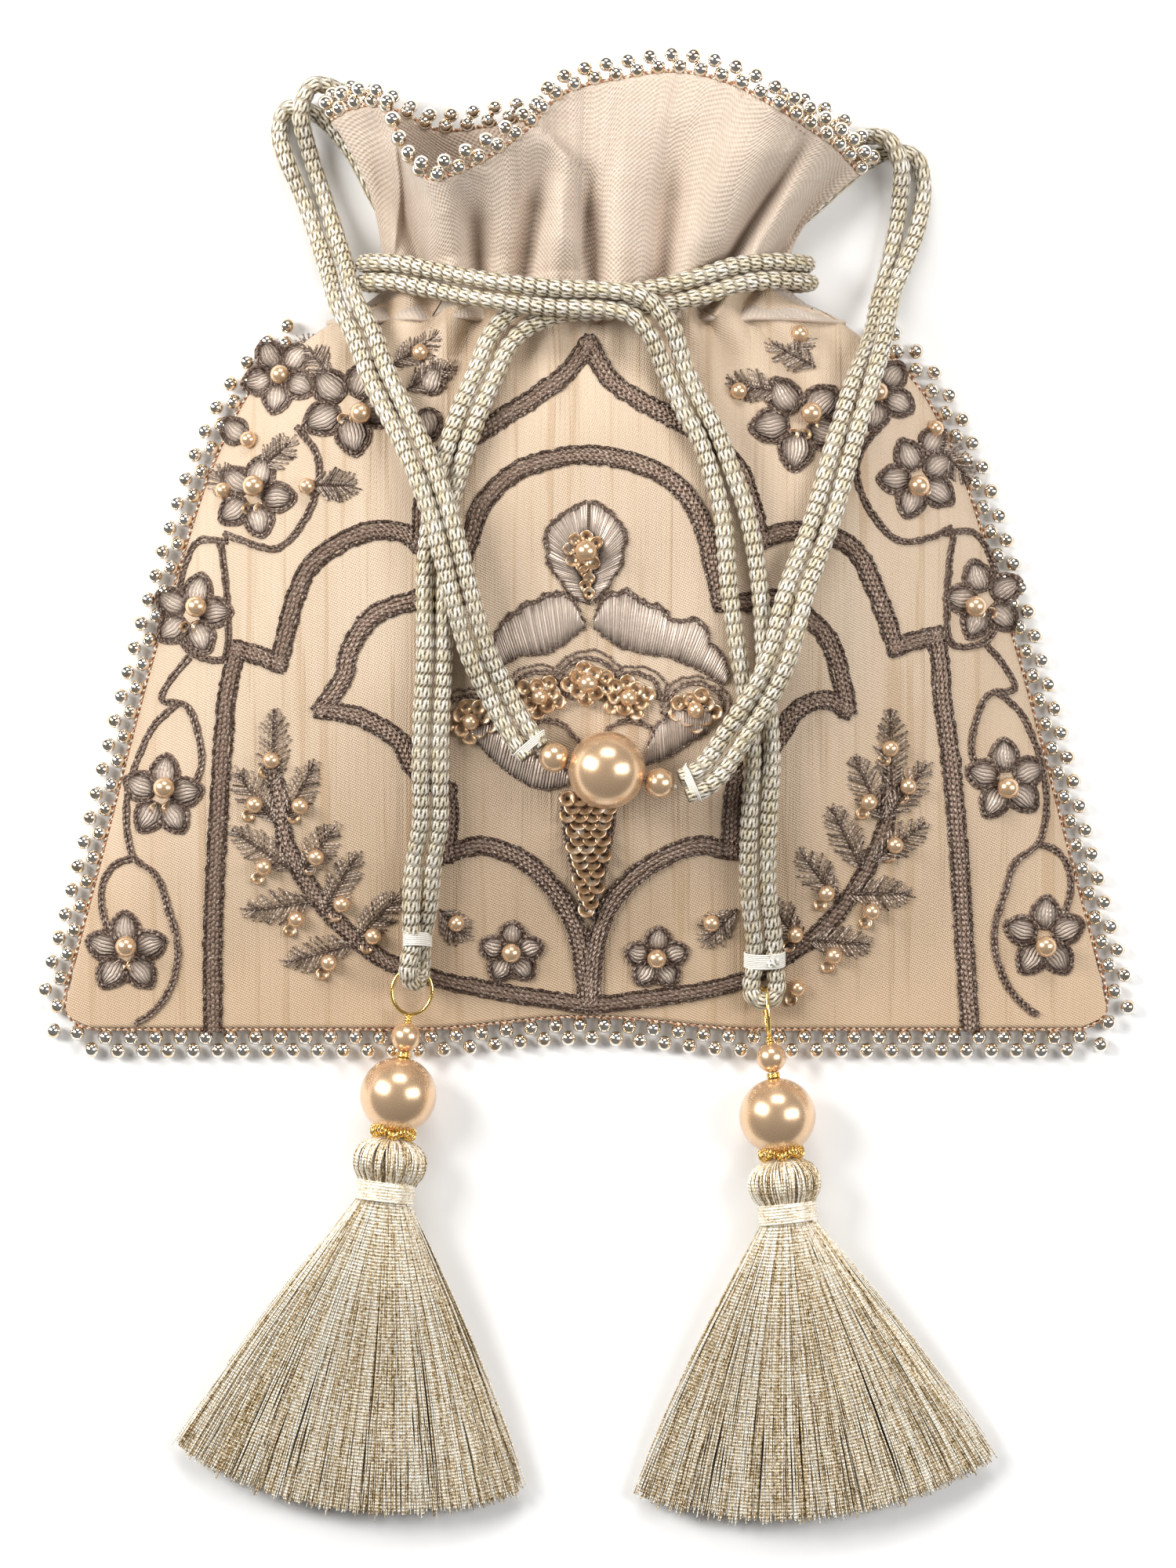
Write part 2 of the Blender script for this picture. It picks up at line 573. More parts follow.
def bunch(lines, radii, sides=3):
    """Many thin threads in one mesh; lines has threads, points along, xyz."""
    lines = np.asarray(lines, float)
    count, steps, _ = lines.shape
    run = unit(np.gradient(lines, axis=1))
    side = unit(np.cross(run, np.broadcast_to((0.2, 0.1, 1.0), run.shape)))
    over = np.cross(run, side)
    turn = np.arange(sides) * 2 * np.pi / sides + 0.5
    ring = side[:, :, None] * np.cos(turn)[:, None] + over[:, :, None] * np.sin(turn)[:, None]
    size = np.broadcast_to(np.asarray(radii, float), (count, steps))[:, :, None, None]
    points = lines[:, :, None] + ring * size
    one = np.array(tube_faces(steps, sides)[: (steps - 1) * sides])
    faces = (one[None] + (np.arange(count) * steps * sides)[:, None, None]).reshape(-1, 4)
    along = np.cumsum(np.linalg.norm(np.diff(lines, axis=1, prepend=lines[:, :1]), axis=2), axis=1)
    tone = np.repeat(seeded.random(count), steps * sides)
    return points.reshape(-1, 3), faces, tone, np.repeat(along.ravel(), sides)


def joined(parts):
    """Several (points, faces, tone, along) bunches as one."""
    points, faces, tones, runs, start = [], [], [], [], 0
    for p, f, t, a in parts:
        points.append(p)
        faces += [tuple(int(k) + start for k in face) for face in f]
        tones.append(np.broadcast_to(t, len(p)))
        runs.append(np.broadcast_to(a, len(p)))
        start += len(p)
    return np.vstack(points), faces, np.concatenate(tones), np.concatenate(runs)


def wire(path, radius, sides=10, closed=False):
    """A round wire along a path: points and faces."""
    side, over = carried_frames(path)
    turn = np.linspace(0, 2 * np.pi, sides, endpoint=False)
    ring = side[:, None] * np.cos(turn)[:, None] + over[:, None] * np.sin(turn)[:, None]
    return (path[:, None] + ring * radius).reshape(-1, 3), tube_faces(len(path), sides, closed)


# Distance below the eye and radius of the head and the neck
HEAD = [
    (34.9, 1.6), (35.6, 4.2), (36.8, 6.1), (38.6, 7.2), (40.8, 7.3), (42.8, 6.7), (44.2, 5.7), (46.2, 5.4),
    (48.2, 5.7),
]
EYE_WIRE_R, SHANK_WIRE_R, SPACER_WIRE_R, FRIZZ_WIRE_R = 0.4, 0.2, 0.26, 0.17
FRIZZ_LOOPS, FRIZZ_R, FRIZZ_CURL_R = 36, 3.5, 1.15
OUTER_SHARE = 0.72
NECK_R = 5.2


def hang_tassel(hand, eye, tilt, face_on, skirt_end, hem_half):
    """One tassel hung from its eye's top, swung by tilt; face_on turns the eye flat to the front."""
    down = np.array((math.sin(tilt), -math.cos(tilt), 0))
    wide = np.array((-down[1], down[0], 0))
    flat = np.array((0.0, 0, 1))
    top = np.array((eye[0], eye[1], TASSEL_AXIS_Z), float)
    body = f"{hand}_tassel"

    def at(far, x=0.0, z=0.0):
        return top + down * far + wide * x + flat * z

    # Eye: a loop of round wire with its ends wound into the small bead
    turn = np.linspace(0, 2 * np.pi, 60)
    open_way = wide if face_on else flat
    across_way = flat if face_on else wide
    half = EYE_LENGTH / 2 - 0.4
    eye_line = (
        top
        + np.outer(half - half * np.cos(turn), down)
        + np.outer((4.1 if face_on else 3.0) * np.sin(turn), open_way)
        + np.outer(0.42 * np.cos(turn / 2), across_way)
    )
    stem = np.array([at(EYE_LENGTH - 0.9), at(EYE_LENGTH + 0.2), at(EYE_LENGTH + 1.2)])
    loop_points, loop_faces = wire(eye_line, EYE_WIRE_R)
    stem_points, stem_faces = wire(stem, EYE_WIRE_R)
    coil = np.linspace(0, 2 * np.pi * 2.6, 60)
    coil_line = np.array([
        at(EYE_LENGTH - 0.4 + c * 0.09, 0.62 * math.cos(c), 0.62 * math.sin(c)) for c in coil
    ])
    coil_points, coil_faces = wire(coil_line, SHANK_WIRE_R, 8)
    parts = [(loop_points, loop_faces, 0, 0), (stem_points, stem_faces, 0, 0), (coil_points, coil_faces, 0, 0)]
    points, faces, _, _ = joined(parts)
    piece(f"{hand}_eye_wire", points, faces, gold_wire, body, "gold_wire", [f"{body}_wire_eye"])

    for size, far, radius in (("small", SMALL_AT, SMALL_R), ("large", LARGE_AT, LARGE_R)):
        bead = f"{body}_{size}_bead"
        points, faces = ball(at(far), radius, down)
        piece(f"{hand}_{size}_pearl", points, faces, gold_pearl, bead, "gold_pearl", [bead])

    coil = np.linspace(0, 2 * np.pi * 3, 80)
    coil_line = np.array([
        at(SPACER_AT - 0.45 + c * 0.05, 1.15 * math.cos(c), 1.15 * math.sin(c)) for c in coil
    ])
    points, faces = wire(coil_line, SPACER_WIRE_R, 8)
    piece(f"{hand}_spacer_coil", points, faces, gold_wire, body, "gold_wire", [f"{body}_spacer"])

    # Frizz: fine springy bullion wound round below the large bead
    t = np.linspace(0, 2 * np.pi, 1000)
    frizz = []
    for a, c in zip(t, FRIZZ_LOOPS * t):
        reach = FRIZZ_R + FRIZZ_CURL_R * math.cos(c)
        drop = BULLION_AT + 1.0 * math.sin(c) + 0.5 * math.sin(5 * a)
        frizz.append(at(0) + down * drop + wide * reach * math.cos(a) + flat * reach * math.sin(a))
    points, faces = wire(np.stack(frizz), FRIZZ_WIRE_R, 5)
    piece(f"{hand}_bullion_frizz", points, faces, gold_wire, body, "gold_wire", [f"{body}_bullion_ring"])

    # Head: threads folded over the ring, gathered tight at the band
    threads = []
    for level, count in ((1.0, 150), (0.94, 50)):
        angles = np.linspace(0, 2 * np.pi, count, endpoint=False) + seeded.normal(0, 0.012, count)
        for a in angles:
            lump = 1 + seeded.normal(0, 0.018)
            sway = seeded.normal(0, 0.02)
            threads.append([
                at(
                    f, r * lump * level * math.cos(a + sway * k),
                    r * lump * level * math.sin(a + sway * k) * 0.97,
                )
                for k, (f, r) in enumerate(HEAD)
            ])
    head = bunch([smooth_line(line, 1.6)[:11] for line in threads], 0.17, 4)

    # Skirt: straight threads fanning out, a little flattened where they lie on the table
    a = seeded.random(SKIRT_THREADS) * 2 * np.pi
    depth = np.sqrt(seeded.random(SKIRT_THREADS) * 0.85 + 0.15)
    outer_threads = int(SKIRT_THREADS * OUTER_SHARE)
    depth[:outer_threads] = 0.93 + 0.07 * seeded.random(outer_threads)
    across, over = np.cos(a) * depth, np.sin(a) * depth
    t = np.linspace(0, 1, 7)[None, :]
    end = skirt_end - 6.5 * np.abs(across) ** 2.4 + seeded.normal(0, 0.7, SKIRT_THREADS)
    end -= (seeded.random(SKIRT_THREADS) < 0.06) * seeded.random(SKIRT_THREADS) * 5
    start = NECK_AT + NECK_LENGTH - 0.6
    spread = NECK_R + (hem_half * 1.04 - NECK_R) * (0.8 * t + 0.2 * np.sin(t * np.pi * 0.5))
    thick = NECK_R + 1.2 * np.sin(np.pi * np.clip(t * 2, 0, 1)) - 2.2 * t
    bend = seeded.normal(0, 0.024, SKIRT_THREADS)[:, None] * np.sin(t * np.pi) * 18
    cross = seeded.normal(0, 0.03, SKIRT_THREADS)[:, None] * t * 34
    x = across[:, None] * spread + bend + cross
    z = over[:, None] * thick - 4.6 * t
    far = start + (end[:, None] - start) * t * (1 - 0.035 * (across[:, None] ** 2) * t)
    z = np.maximum(z, -TASSEL_AXIS_Z + 0.35)
    lines = top + far[..., None] * down + x[..., None] * wide + z[..., None] * flat
    skirt = bunch(lines, 0.19 - 0.03 * t, 3)
    points, faces, tone, along = joined([head, skirt])
    piece(
        f"{hand}_tassel_thread", points, faces, tassel_silk, body, "tassel_thread", [f"{body}_threads"],
        tone=tone, along=along,
    )

    # Band: the same thread wound over the neck, with a few crossing wraps
    wraps = []
    for start_turn, radius, thread, pitch in ((0, 5.75, 0.34, 0.33), (1.7, 5.98, 0.3, 0.62)):
        c = np.arange(0, NECK_LENGTH / pitch * 2 * np.pi, 0.14)
        line = np.stack([
            at(
                NECK_AT + pitch * k / (2 * np.pi),
                radius * math.cos(k + start_turn),
                radius * math.sin(k + start_turn),
            )
            for k in c
        ])
        p, f = wire(line, thread / 2 + 0.05, 6)
        tone = 0.45 + 0.5 * np.abs(np.sin(c * 3.1 + start_turn))
        wraps.append((p, f, np.repeat(tone, 6), np.repeat(c, 6)))
    points, faces, tone, along = joined(wraps)
    piece(
        f"{hand}_tassel_band", points, faces, tassel_silk, body, "tassel_thread", [f"{body}_neck_binding"],
        tone=tone, along=along,
    )


hang_tassel("left", LEFT_EYE, math.radians(-7.5), True, skirt_end=111.5, hem_half=33.4)
hang_tassel("right", RIGHT_EYE, math.radians(6), False, skirt_end=108.5, hem_half=34.6)

# ---- Pouch ------------------------------------------------------------------------------------
# Two panels of shot silk, the front one stuffed out by the bag's fullness, sewn along the sides and
# the bottom, with a satin lining inside. The front is puckered where it is gathered into the collar.
BOTTOM_Y = -97.2
SHOULDER_Y = 46
BOTTOM_BOW = 2.6
BOTTOM_BOW_HALF = 36
FRONT_SEAM_Z = 2.8
SILK_THICK = 0.9
SIDE = np.array([
    (-97.2, 101.5), (-94.8, 106.2), (-91, 106.4), (-60, 98.6), (-25, 89.6), (0, 82.3), (14, 77.9), (26, 72.8),
    (34, 68.2), (41, 61.6), (46, 54.5),
])
BELLY = np.array([
    (-97.2, 0), (-88, 1.9), (-80, 4.2), (-70, 8), (-60, 12), (-45, 17), (-25, 21.5), (0, 24), (20, 23.6),
    (34, 21.4), (46, 18.6),
])
# Creases of the gathers: x at the shoulder, x where it dies out, y where it dies out, depth, half width
GATHERS = [
    (-44, -58, 18, 1.5, 2.6), (-33, -44, 6, 1.2, 2.4), (-24, -28, 14, 2.6, 2.8), (-12, -14, 24, 1.4, 2.2),
    (-3, -2, 22, 1.6, 2.2), (7, 9, 26, 1.3, 2.2), (17, 22, 12, 2.4, 2.8), (28, 36, 8, 1.5, 2.6),
    (38, 52, 14, 1.6, 2.6), (48, 62, 24, 1.0, 2.4),
]


def eased(pairs, at):
    """Smooth value through rows of (place, value)."""
    at = np.clip(np.asarray(at, float), pairs[0, 0], pairs[-1, 0])
    i = np.clip(np.searchsorted(pairs[:, 0], at, side="right") - 1, 0, len(pairs) - 2)
    low, high = np.maximum(np.arange(len(pairs)) - 1, 0), np.minimum(np.arange(len(pairs)) + 1, len(pairs) - 1)
    slope = (pairs[high, 1] - pairs[low, 1]) / (pairs[high, 0] - pairs[low, 0])
    span = pairs[i + 1, 0] - pairs[i, 0]
    t = (at - pairs[i, 0]) / span
    rise = t * t * (3 - 2 * t)
    return (
        pairs[i, 1] + (pairs[i + 1, 1] - pairs[i, 1]) * rise
        + t * (1 - t) ** 2 * span * slope[i] + t * t * (t - 1) * span * slope[i + 1]
    )


def front_height(x, y):
    """Height of the front's silk over the table."""
    s = np.clip(np.abs(x) / eased(SIDE, y), 0, 1)
    z = FRONT_SEAM_Z + eased(BELLY, y) * (1 - s ** 2.6) ** 0.75
    for neck_x, end_x, end_y, depth, half in GATHERS:
        t = np.clip((y - end_y) / (SHOULDER_Y - end_y), 0, 1)
        crease = end_x + (neck_x - end_x) * t
        z = z - 1.5 * depth * t ** 1.2 * np.exp(-(((x - crease) / (half * (1.5 - 0.5 * t))) ** 2))
    ripple = np.sin(x * 0.11 + 1.3) * np.sin(y * 0.09 + x * 0.03) * 0.35 + np.sin(x * 0.23 - y * 0.17) * 0.12
    return z + ripple * np.clip((1 - s) * 5, 0, 1) * np.clip((y - BOTTOM_Y) / 12, 0, 1)


def front_creases(x, y):
    """How deep in a crease of the gathers a place on the front is, 0 to 1."""
    deep = 0 * x
    for neck_x, end_x, end_y, depth, half in GATHERS:
        t = np.clip((y - end_y) / (SHOULDER_Y - end_y), 0, 1)
        crease = end_x + (neck_x - end_x) * t
        deep = deep + 0.3 * depth * t * np.exp(-(((x - crease) / (half * 0.8)) ** 2))
    return np.clip(deep, 0, 1)


def bottom_bow(x):
    """How far the bottom edge rises towards its middle."""
    return BOTTOM_BOW * np.maximum(0, np.cos(np.pi / 2 * np.minimum(1, np.abs(x) / BOTTOM_BOW_HALF))) ** 2


def panel_grid(columns, rows, lift):
    """Points over a panel in its outline, at the heights that lift gives."""
    s = np.sin(np.pi / 2 * np.linspace(-1, 1, columns + 1))
    t = np.linspace(0, 1, rows + 1) ** 1.15
    S, T = np.meshgrid(s, t)
    y = BOTTOM_Y + (SHOULDER_Y - BOTTOM_Y) * T
    x = S * eased(SIDE, y)
    return np.stack([x, y + bottom_bow(x) * (1 - T) ** 4, lift(x, y)], axis=-1)


def sheet_between(top, bottom):
    """A closed sheet between two grids of points."""
    rows, columns, _ = top.shape
    points = np.vstack([top.reshape(-1, 3), bottom.reshape(-1, 3)])
    k = rows * columns
    at = np.arange(k).reshape(rows, columns)
    a, b, c, d = at[:-1, :-1].ravel(), at[:-1, 1:].ravel(), at[1:, 1:].ravel(), at[1:, :-1].ravel()
    faces = np.vstack([np.stack([a, b, c, d], 1), np.stack([a, d, c, b], 1) + k]).tolist()
    rim = np.concatenate([at[0], at[1:, -1], at[-1, -2::-1], at[-2:0:-1, 0]])
    faces += [(i, i + k, j + k, j) for i, j in zip(rim, np.roll(rim, -1))]
    return points, faces


silk = Finish("shot_silk", roughness=0.46, Sheen_Weight=0.25, Sheen_Roughness=0.4)
spot = silk.node("ShaderNodeSeparateXYZ", {}, {"Vector": silk.place()}, "X")
across_silk, up_silk = spot, spot.also("Y")
weft = silk.sums("SINE", (across_silk * 1.0 + up_silk * 2.2) * 5.6)
warp = silk.sums("SINE", (across_silk * 2.1 - up_silk * 0.9) * 6.4)
slub_field = silk.noise(silk.place((0.33, 0.011, 0)), 1.0, 3, 0.6)
slub = silk.ramp(slub_field, (0.55, (0, 0, 0)), (0.63, (1, 1, 1)))
fine_slub = silk.noise(silk.place((1.9, 0.035, 0)), 1.0, 2, 0.7)
moire = silk.noise(silk.place((0.06, 0.02, 0.02)), 1.0, 3, 0.55)
warmth = silk.sums("MAXIMUM", (up_silk + 20) * -0.011, 0) * 0.8
cream = silk.mix(moire, (0.58, 0.44, 0.31), (0.86, 0.72, 0.575))
cream = silk.mix(warmth, cream, (0.62, 0.425, 0.255))
cream = silk.mix(slub * 0.55, cream, (0.50, 0.335, 0.185))
cream = silk.mix((fine_slub - 0.42) * 1.3, cream, (0.60, 0.45, 0.30))
cream = silk.mix(silk.kept("fold") * 0.75, cream, (0.24, 0.145, 0.075))
silk.set("Base Color", silk.mix((weft * warp + 1) * 0.33, cream, (0.40, 0.27, 0.16)))
silk.set("Roughness", 0.40 + 0.12 * moire)
silk.bump(weft * 0.25 + warp * 0.18 + fine_slub * 1.4 + slub * 0.8, 0.16, 0.9)

top = panel_grid(124, 92, front_height)
under = top.copy()
under[..., 2] = np.maximum(top[..., 2] - SILK_THICK, 1.3)
points, faces = sheet_between(top, under)
deep = front_creases(points[:, 0], points[:, 1])
piece("pouch_front_silk", points, faces, silk, "bag", "silk", ["front_panel"], fold=deep)

back_top = panel_grid(48, 44, lambda x, y: 0.9 + 0 * x)
back_low = panel_grid(48, 44, lambda x, y: 0.02 + 0.10 * (1 + np.sin(x * 0.17) * np.sin(y * 0.13)))
points, faces = sheet_between(back_top, back_low)
piece("pouch_back_silk", points, faces, silk, "bag", "silk", ["back_panel"])

satin = Finish("lining_satin", roughness=0.38, Sheen_Weight=0.2)
ground = satin.noise(satin.place((0.05, 0.4, 0.05)), 1.0, 3)
satin.set("Base Color", satin.mix(ground, (0.50, 0.36, 0.22), (0.62, 0.46, 0.30)))
satin.bump(satin.noise(satin.place((2, 0.2, 2)), 1.0), 0.08)

LINING_INSET = 13
LINING_BOTTOM_Y = -78
LINING_TOP_Y = 45.5
LINING_CLEAR = 1.3
LINING_THICK = 0.6
loops = []
outside = [(y, 0) for y in np.linspace(LINING_BOTTOM_Y, LINING_TOP_Y, 26)]
inside = [(y, LINING_THICK) for y in np.linspace(LINING_TOP_Y, LINING_BOTTOM_Y + LINING_THICK, 26)]
for y, inset in outside + inside:
    half = float(eased(SIDE, y)) - LINING_INSET - inset
    x = half * np.sin(np.pi / 2 * np.linspace(-1, 1, 41))
    high = front_height(x, np.full_like(x, y)) - SILK_THICK - LINING_CLEAR - inset
    low = np.full_like(x, SILK_THICK + 0.35 + inset)
    level = np.full_like(x, y)
    loops.append(np.vstack([np.stack([x, level, high], 1), np.stack([x, level, low], 1)[::-1]]))
points = np.vstack(loops)
piece("pouch_lining", points, tube_faces(len(loops), len(loops[0])), satin, "bag", "lining_satin", ["lining"])

# ---- Collar -----------------------------------------------------------------------------------
# A tube of plain basket-woven raw silk above the shoulders. The drawstring draws it in at the neck
# and it flares from there in deep soft folds to a wavy mouth, turned over in an S-fold at the left.
NECK_Y = 56
COLLAR_THICK = 0.9
FRONT_SHARE = 15 / 24
MOUTH = [
    (-52, 88.2, 9), (-47.5, 90.2, 14), (-41, 89.6, 19.5), (-37, 80.5, 25), (-31.5, 74.6, 28), (-22, 77.6, 29),
    (-12.5, 84, 27), (-4.4, 92.4, 23), (8.4, 96, 21), (18.4, 97, 22), (29.2, 94.4, 24), (38, 89.6, 25),
    (45, 85.6, 21), (51.4, 81.6, 14), (56, 77.4, 8), (54.4, 81.6, 6.8), (48.6, 87, 6.2), (39, 90.6, 6),
    (22, 91.4, 6), (4, 90.2, 6), (-14, 88.2, 6), (-30, 86.4, 6), (-39, 90.4, 6.2), (-47.6, 92, 6.6),
]
# Soft folds of the front: x, y low down; x, y near the mouth; depth (a ridge is negative), half width
FOLDS = [
    (-41, 57, -43, 88, 1.8, 2.0), (-33.5, 57, -39.5, 80, 2.4, 2.2), (-27, 56, -29, 74, -1.2, 2.6),
    (-21.5, 56, -23, 72, 2.6, 2.0), (-13, 56, -9, 78, 2.8, 2.2), (-6.5, 56, -4, 84, -1.6, 2.6),
    (1.5, 55, -1.2, 76, 2.9, 1.7), (7, 55, 8, 92, -1.3, 3.2), (15.5, 55, 19, 84, 2.6, 2.2),
    (21, 55, 31, 88, -1.0, 3.0), (27, 56, 43, 84, 2.9, 2.0), (32, 57, 47, 82, -1.2, 2.4),
    (37, 58, 51, 78, 1.8, 1.8),
]
# Folds lapped over their neighbour on the right: the line of the lap from low to high, rise, breadth
LAPS = [
    ([(-0.9, 57), (-0.4, 66), (-0.4, 75.4), (-3.5, 80), (-8.4, 85.6)], 3.4, 9.0),
    ([(26.8, 57), (31.5, 65), (37.5, 74), (43.6, 84)], 3.0, 8.0),
    ([(-39.5, 57), (-38.2, 66), (-37.6, 74), (-38.6, 84)], 2.4, 7.0),
]


def looped(points, samples=40):
    """A closed smooth line, with the same number of samples between each two of its points."""
    p = np.asarray(points, float)
    n = len(p)
    out = []
    for i in range(n):
        a, b, c, d = p[i - 1], p[i], p[(i + 1) % n], p[(i + 2) % n]
        t1 = np.linalg.norm(b - a) ** 0.5
        t2 = t1 + np.linalg.norm(c - b) ** 0.5
        t3 = t2 + np.linalg.norm(d - c) ** 0.5
        t = np.linspace(t1, t2, samples, endpoint=False)[:, None]
        a1 = (t1 - t) / t1 * a + t / t1 * b
        a2 = (t2 - t) / (t2 - t1) * b + (t - t1) / (t2 - t1) * c
        a3 = (t3 - t) / (t3 - t2) * c + (t - t2) / (t3 - t2) * d
        out.append(
            (t2 - t) / (t2 - t1) * ((t2 - t) / t2 * a1 + t / t2 * a2)
            + (t - t1) / (t2 - t1) * ((t3 - t) / (t3 - t1) * a2 + (t - t1) / (t3 - t1) * a3)
        )
    return np.vstack(out)


MOUTH_LINE = looped(MOUTH)


def mouth_at(a):
    k = np.asarray(a) % 1 * len(MOUTH_LINE)
    i = np.floor(k).astype(int) % len(MOUTH_LINE)
    share = (k - np.floor(k))[..., None]
    return MOUTH_LINE[i] * (1 - share) + MOUTH_LINE[(i + 1) % len(MOUTH_LINE)] * share


def collar_section(a, y, half, low, high, folds):
    turn = np.where(a < FRONT_SHARE, a / FRONT_SHARE, (1 - a) / (1 - FRONT_SHARE))
    s = -np.cos(np.pi * turn)
    swell = np.sqrt(np.maximum(0, 1 - s * s))
    seam = low + (high - low) * 0.22
    front = seam + (high - seam) * swell ** 0.9 * (1 + folds * np.cos(5 * np.pi * s))
    back = seam - (seam - low) * swell ** 0.5
    return np.stack([s * half, np.full_like(s, y), np.where(a < FRONT_SHARE, front, back)], axis=-1)


COLLAR_RINGS = [
    (SHOULDER_Y + 1.4, 53.6, 0.4, 21.4, 0), (51, 45.2, 3.2, 20.2, 0.02),
    (NECK_Y - 1.6, 40.6, 4.3, 19.5, 0.05), (NECK_Y + 4, 41.6, 4.3, 20.5, 0.05),
]


def fold_depth(x, y):
    """Depth of the collar's folds under its plain shape, and how shaded they are, 0 to 1."""
    dent, shade = 0 * x, 0 * x
    for x0, y0, x1, y1, depth, half in FOLDS:
        share = (y - y0) / (y1 - y0)
        line = x0 + (x1 - x0) * share
        fade = np.clip((y - 44) / 8, 0, 1) * np.clip((y1 + 4 - y) / (0.55 * (y1 - y0)), 0, 1)
        width = half * (1 + 0.8 * np.clip(share, 0, 1))
        ditch = fade * np.exp(-(((x - line) / width) ** 2))
        dent = dent + 2.1 * depth * ditch
        shade = shade + 0.22 * depth * ditch * fade
    for route, height, width in LAPS:
        rows = np.array([(py, px) for px, py in route], float)
        beyond = x - eased(rows, y)
        rise = np.clip((y - rows[0, 0]) / 6, 0, 1) * np.clip((rows[-1, 0] + 2 - y) / 5, 0, 1)
        lap = 0.5 * (1 - np.tanh(beyond / 0.45)) * np.exp(np.minimum(beyond, 0) / width)
        dent = dent - height * rise * lap
        shade = shade + 0.75 * rise * np.exp(-np.maximum(beyond, 0) / 1.8) * (beyond > -0.3)
    return dent, np.clip(shade, 0, 1)


def collar_point(a, v):
    """The collar's surface: a goes round it, v up it: 0 the shoulders, 3 the last ring, 7 the mouth."""
    a = np.asarray(a, float)
    rings = np.stack([collar_section(a, *ring) for ring in COLLAR_RINGS])
    low = np.clip(np.floor(np.minimum(v, 3)).astype(int), 0, 2)
    share = (np.minimum(v, 3) - low)[..., None]
    k = np.arange(len(a.ravel())).reshape(a.shape)
    flat = rings.reshape(4, -1, 3)
    neck = flat[low.ravel(), k.ravel()].reshape(*a.shape, 3) * (1 - share)
    neck = neck + flat[low.ravel() + 1, k.ravel()].reshape(*a.shape, 3) * share
    t = np.clip((v - 3) / 4, 0, 1)[..., None]
    flare = rings[3] * (1 - t) + mouth_at(a) * t
    flare[..., 0] *= 1 - 0.05 * np.sin(np.pi * t[..., 0])
    place = np.where(v[..., None] <= 3, neck, flare)
    front = (a < FRONT_SHARE) & (a > 0)
    dent = fold_depth(place[..., 0], place[..., 1])[0]
    edge_room = np.clip((0.5 - np.abs(a / FRONT_SHARE - 0.5)) * 9, 0, 1)
    place[..., 2] -= np.where(front, dent * edge_room, 0)
    back_wave = np.sin(a * 90) * 0.25
    place[..., 2] += np.where(front, 0, back_wave * np.clip(v, 0, 1))
    return place


BASKET_PITCH = 1.05

raw_silk = Finish("raw_silk_basket_weave", roughness=0.72, Sheen_Weight=0.35, Sheen_Roughness=0.5)
weave_x, weave_y = raw_silk.kept("round"), raw_silk.kept("up")
basket_turn = 2 * math.pi / BASKET_PITCH
basket = raw_silk.sums("SINE", weave_x * basket_turn) * raw_silk.sums("SINE", weave_y * basket_turn)
uneven = raw_silk.noise(raw_silk.place((0.9, 0.9, 0.9)), 1.0, 3, 0.7)
thread_x = raw_silk.node("ShaderNodeCombineXYZ", {}, {"X": weave_x * 1.4, "Y": weave_y * 0.06})
thread_y = raw_silk.node("ShaderNodeCombineXYZ", {}, {"X": weave_x * 0.06, "Y": weave_y * 1.4})
streak = raw_silk.noise(thread_x, 1.0, 2, 0.7) + raw_silk.noise(thread_y, 1.0, 2, 0.7)
ground = raw_silk.mix((streak - 0.7) * 1.2, (0.64, 0.52, 0.42), (0.82, 0.72, 0.62))
ground = raw_silk.mix(uneven * 0.25, ground, (0.56, 0.42, 0.31))
ground = raw_silk.mix(raw_silk.kept("fold") * 0.62, ground, (0.30, 0.20, 0.135))
raw_silk.set("Base Color", raw_silk.mix((1 - basket) * 0.22, ground, (0.40, 0.29, 0.20)))
raw_silk.bump(basket * 0.8 + streak * 1.1 + uneven * 0.4, 0.16, 0.85)

AROUND, LEVELS, NECK_LEVELS = 340, 66, 34
WEAVE_LEVEL = 50
a = np.linspace(0, 1, AROUND, endpoint=False)
v = np.concatenate([np.linspace(0.02, 3, NECK_LEVELS, endpoint=False), np.linspace(3, 7, LEVELS - NECK_LEVELS)])
A, V = np.meshgrid(a, v)
outer = collar_point(A, V)


def surface_normal(grid):
    """Direction out of a surface whose rows go round it."""
    round_way = np.roll(grid, -1, axis=1) - np.roll(grid, 1, axis=1)
    up_way = np.gradient(grid, axis=0)
    return unit(np.cross(round_way, up_way))


outward = surface_normal(outer)
if outward[LEVELS // 2, int(AROUND * 0.3), 2] < 0:
    outward = -outward
inner = outer - outward * COLLAR_THICK
round_far = distance_along(outer[WEAVE_LEVEL])
up_far = np.cumsum(np.linalg.norm(np.diff(outer, axis=0, prepend=outer[:1]), axis=2), axis=0)
round_grid = np.broadcast_to(round_far, outer.shape[:2])
points = np.vstack([outer.reshape(-1, 3), inner[::-1].reshape(-1, 3)])
faces = tube_faces(2 * LEVELS, AROUND, closed=True)
deep = fold_depth(outer[..., 0], outer[..., 1])[1] * ((A < FRONT_SHARE) & (A > 0))
inside_dark = np.full(outer.shape[:2], 0.45)
piece(
    "collar_raw_silk", points, faces, raw_silk, "bag", "matka_silk", ["collar"],
    round=np.concatenate([round_grid.ravel(), round_grid[::-1].ravel()]),
    up=np.concatenate([up_far.ravel(), up_far[::-1].ravel()]),
    fold=np.concatenate([deep.ravel(), inside_dark.ravel()]),
)

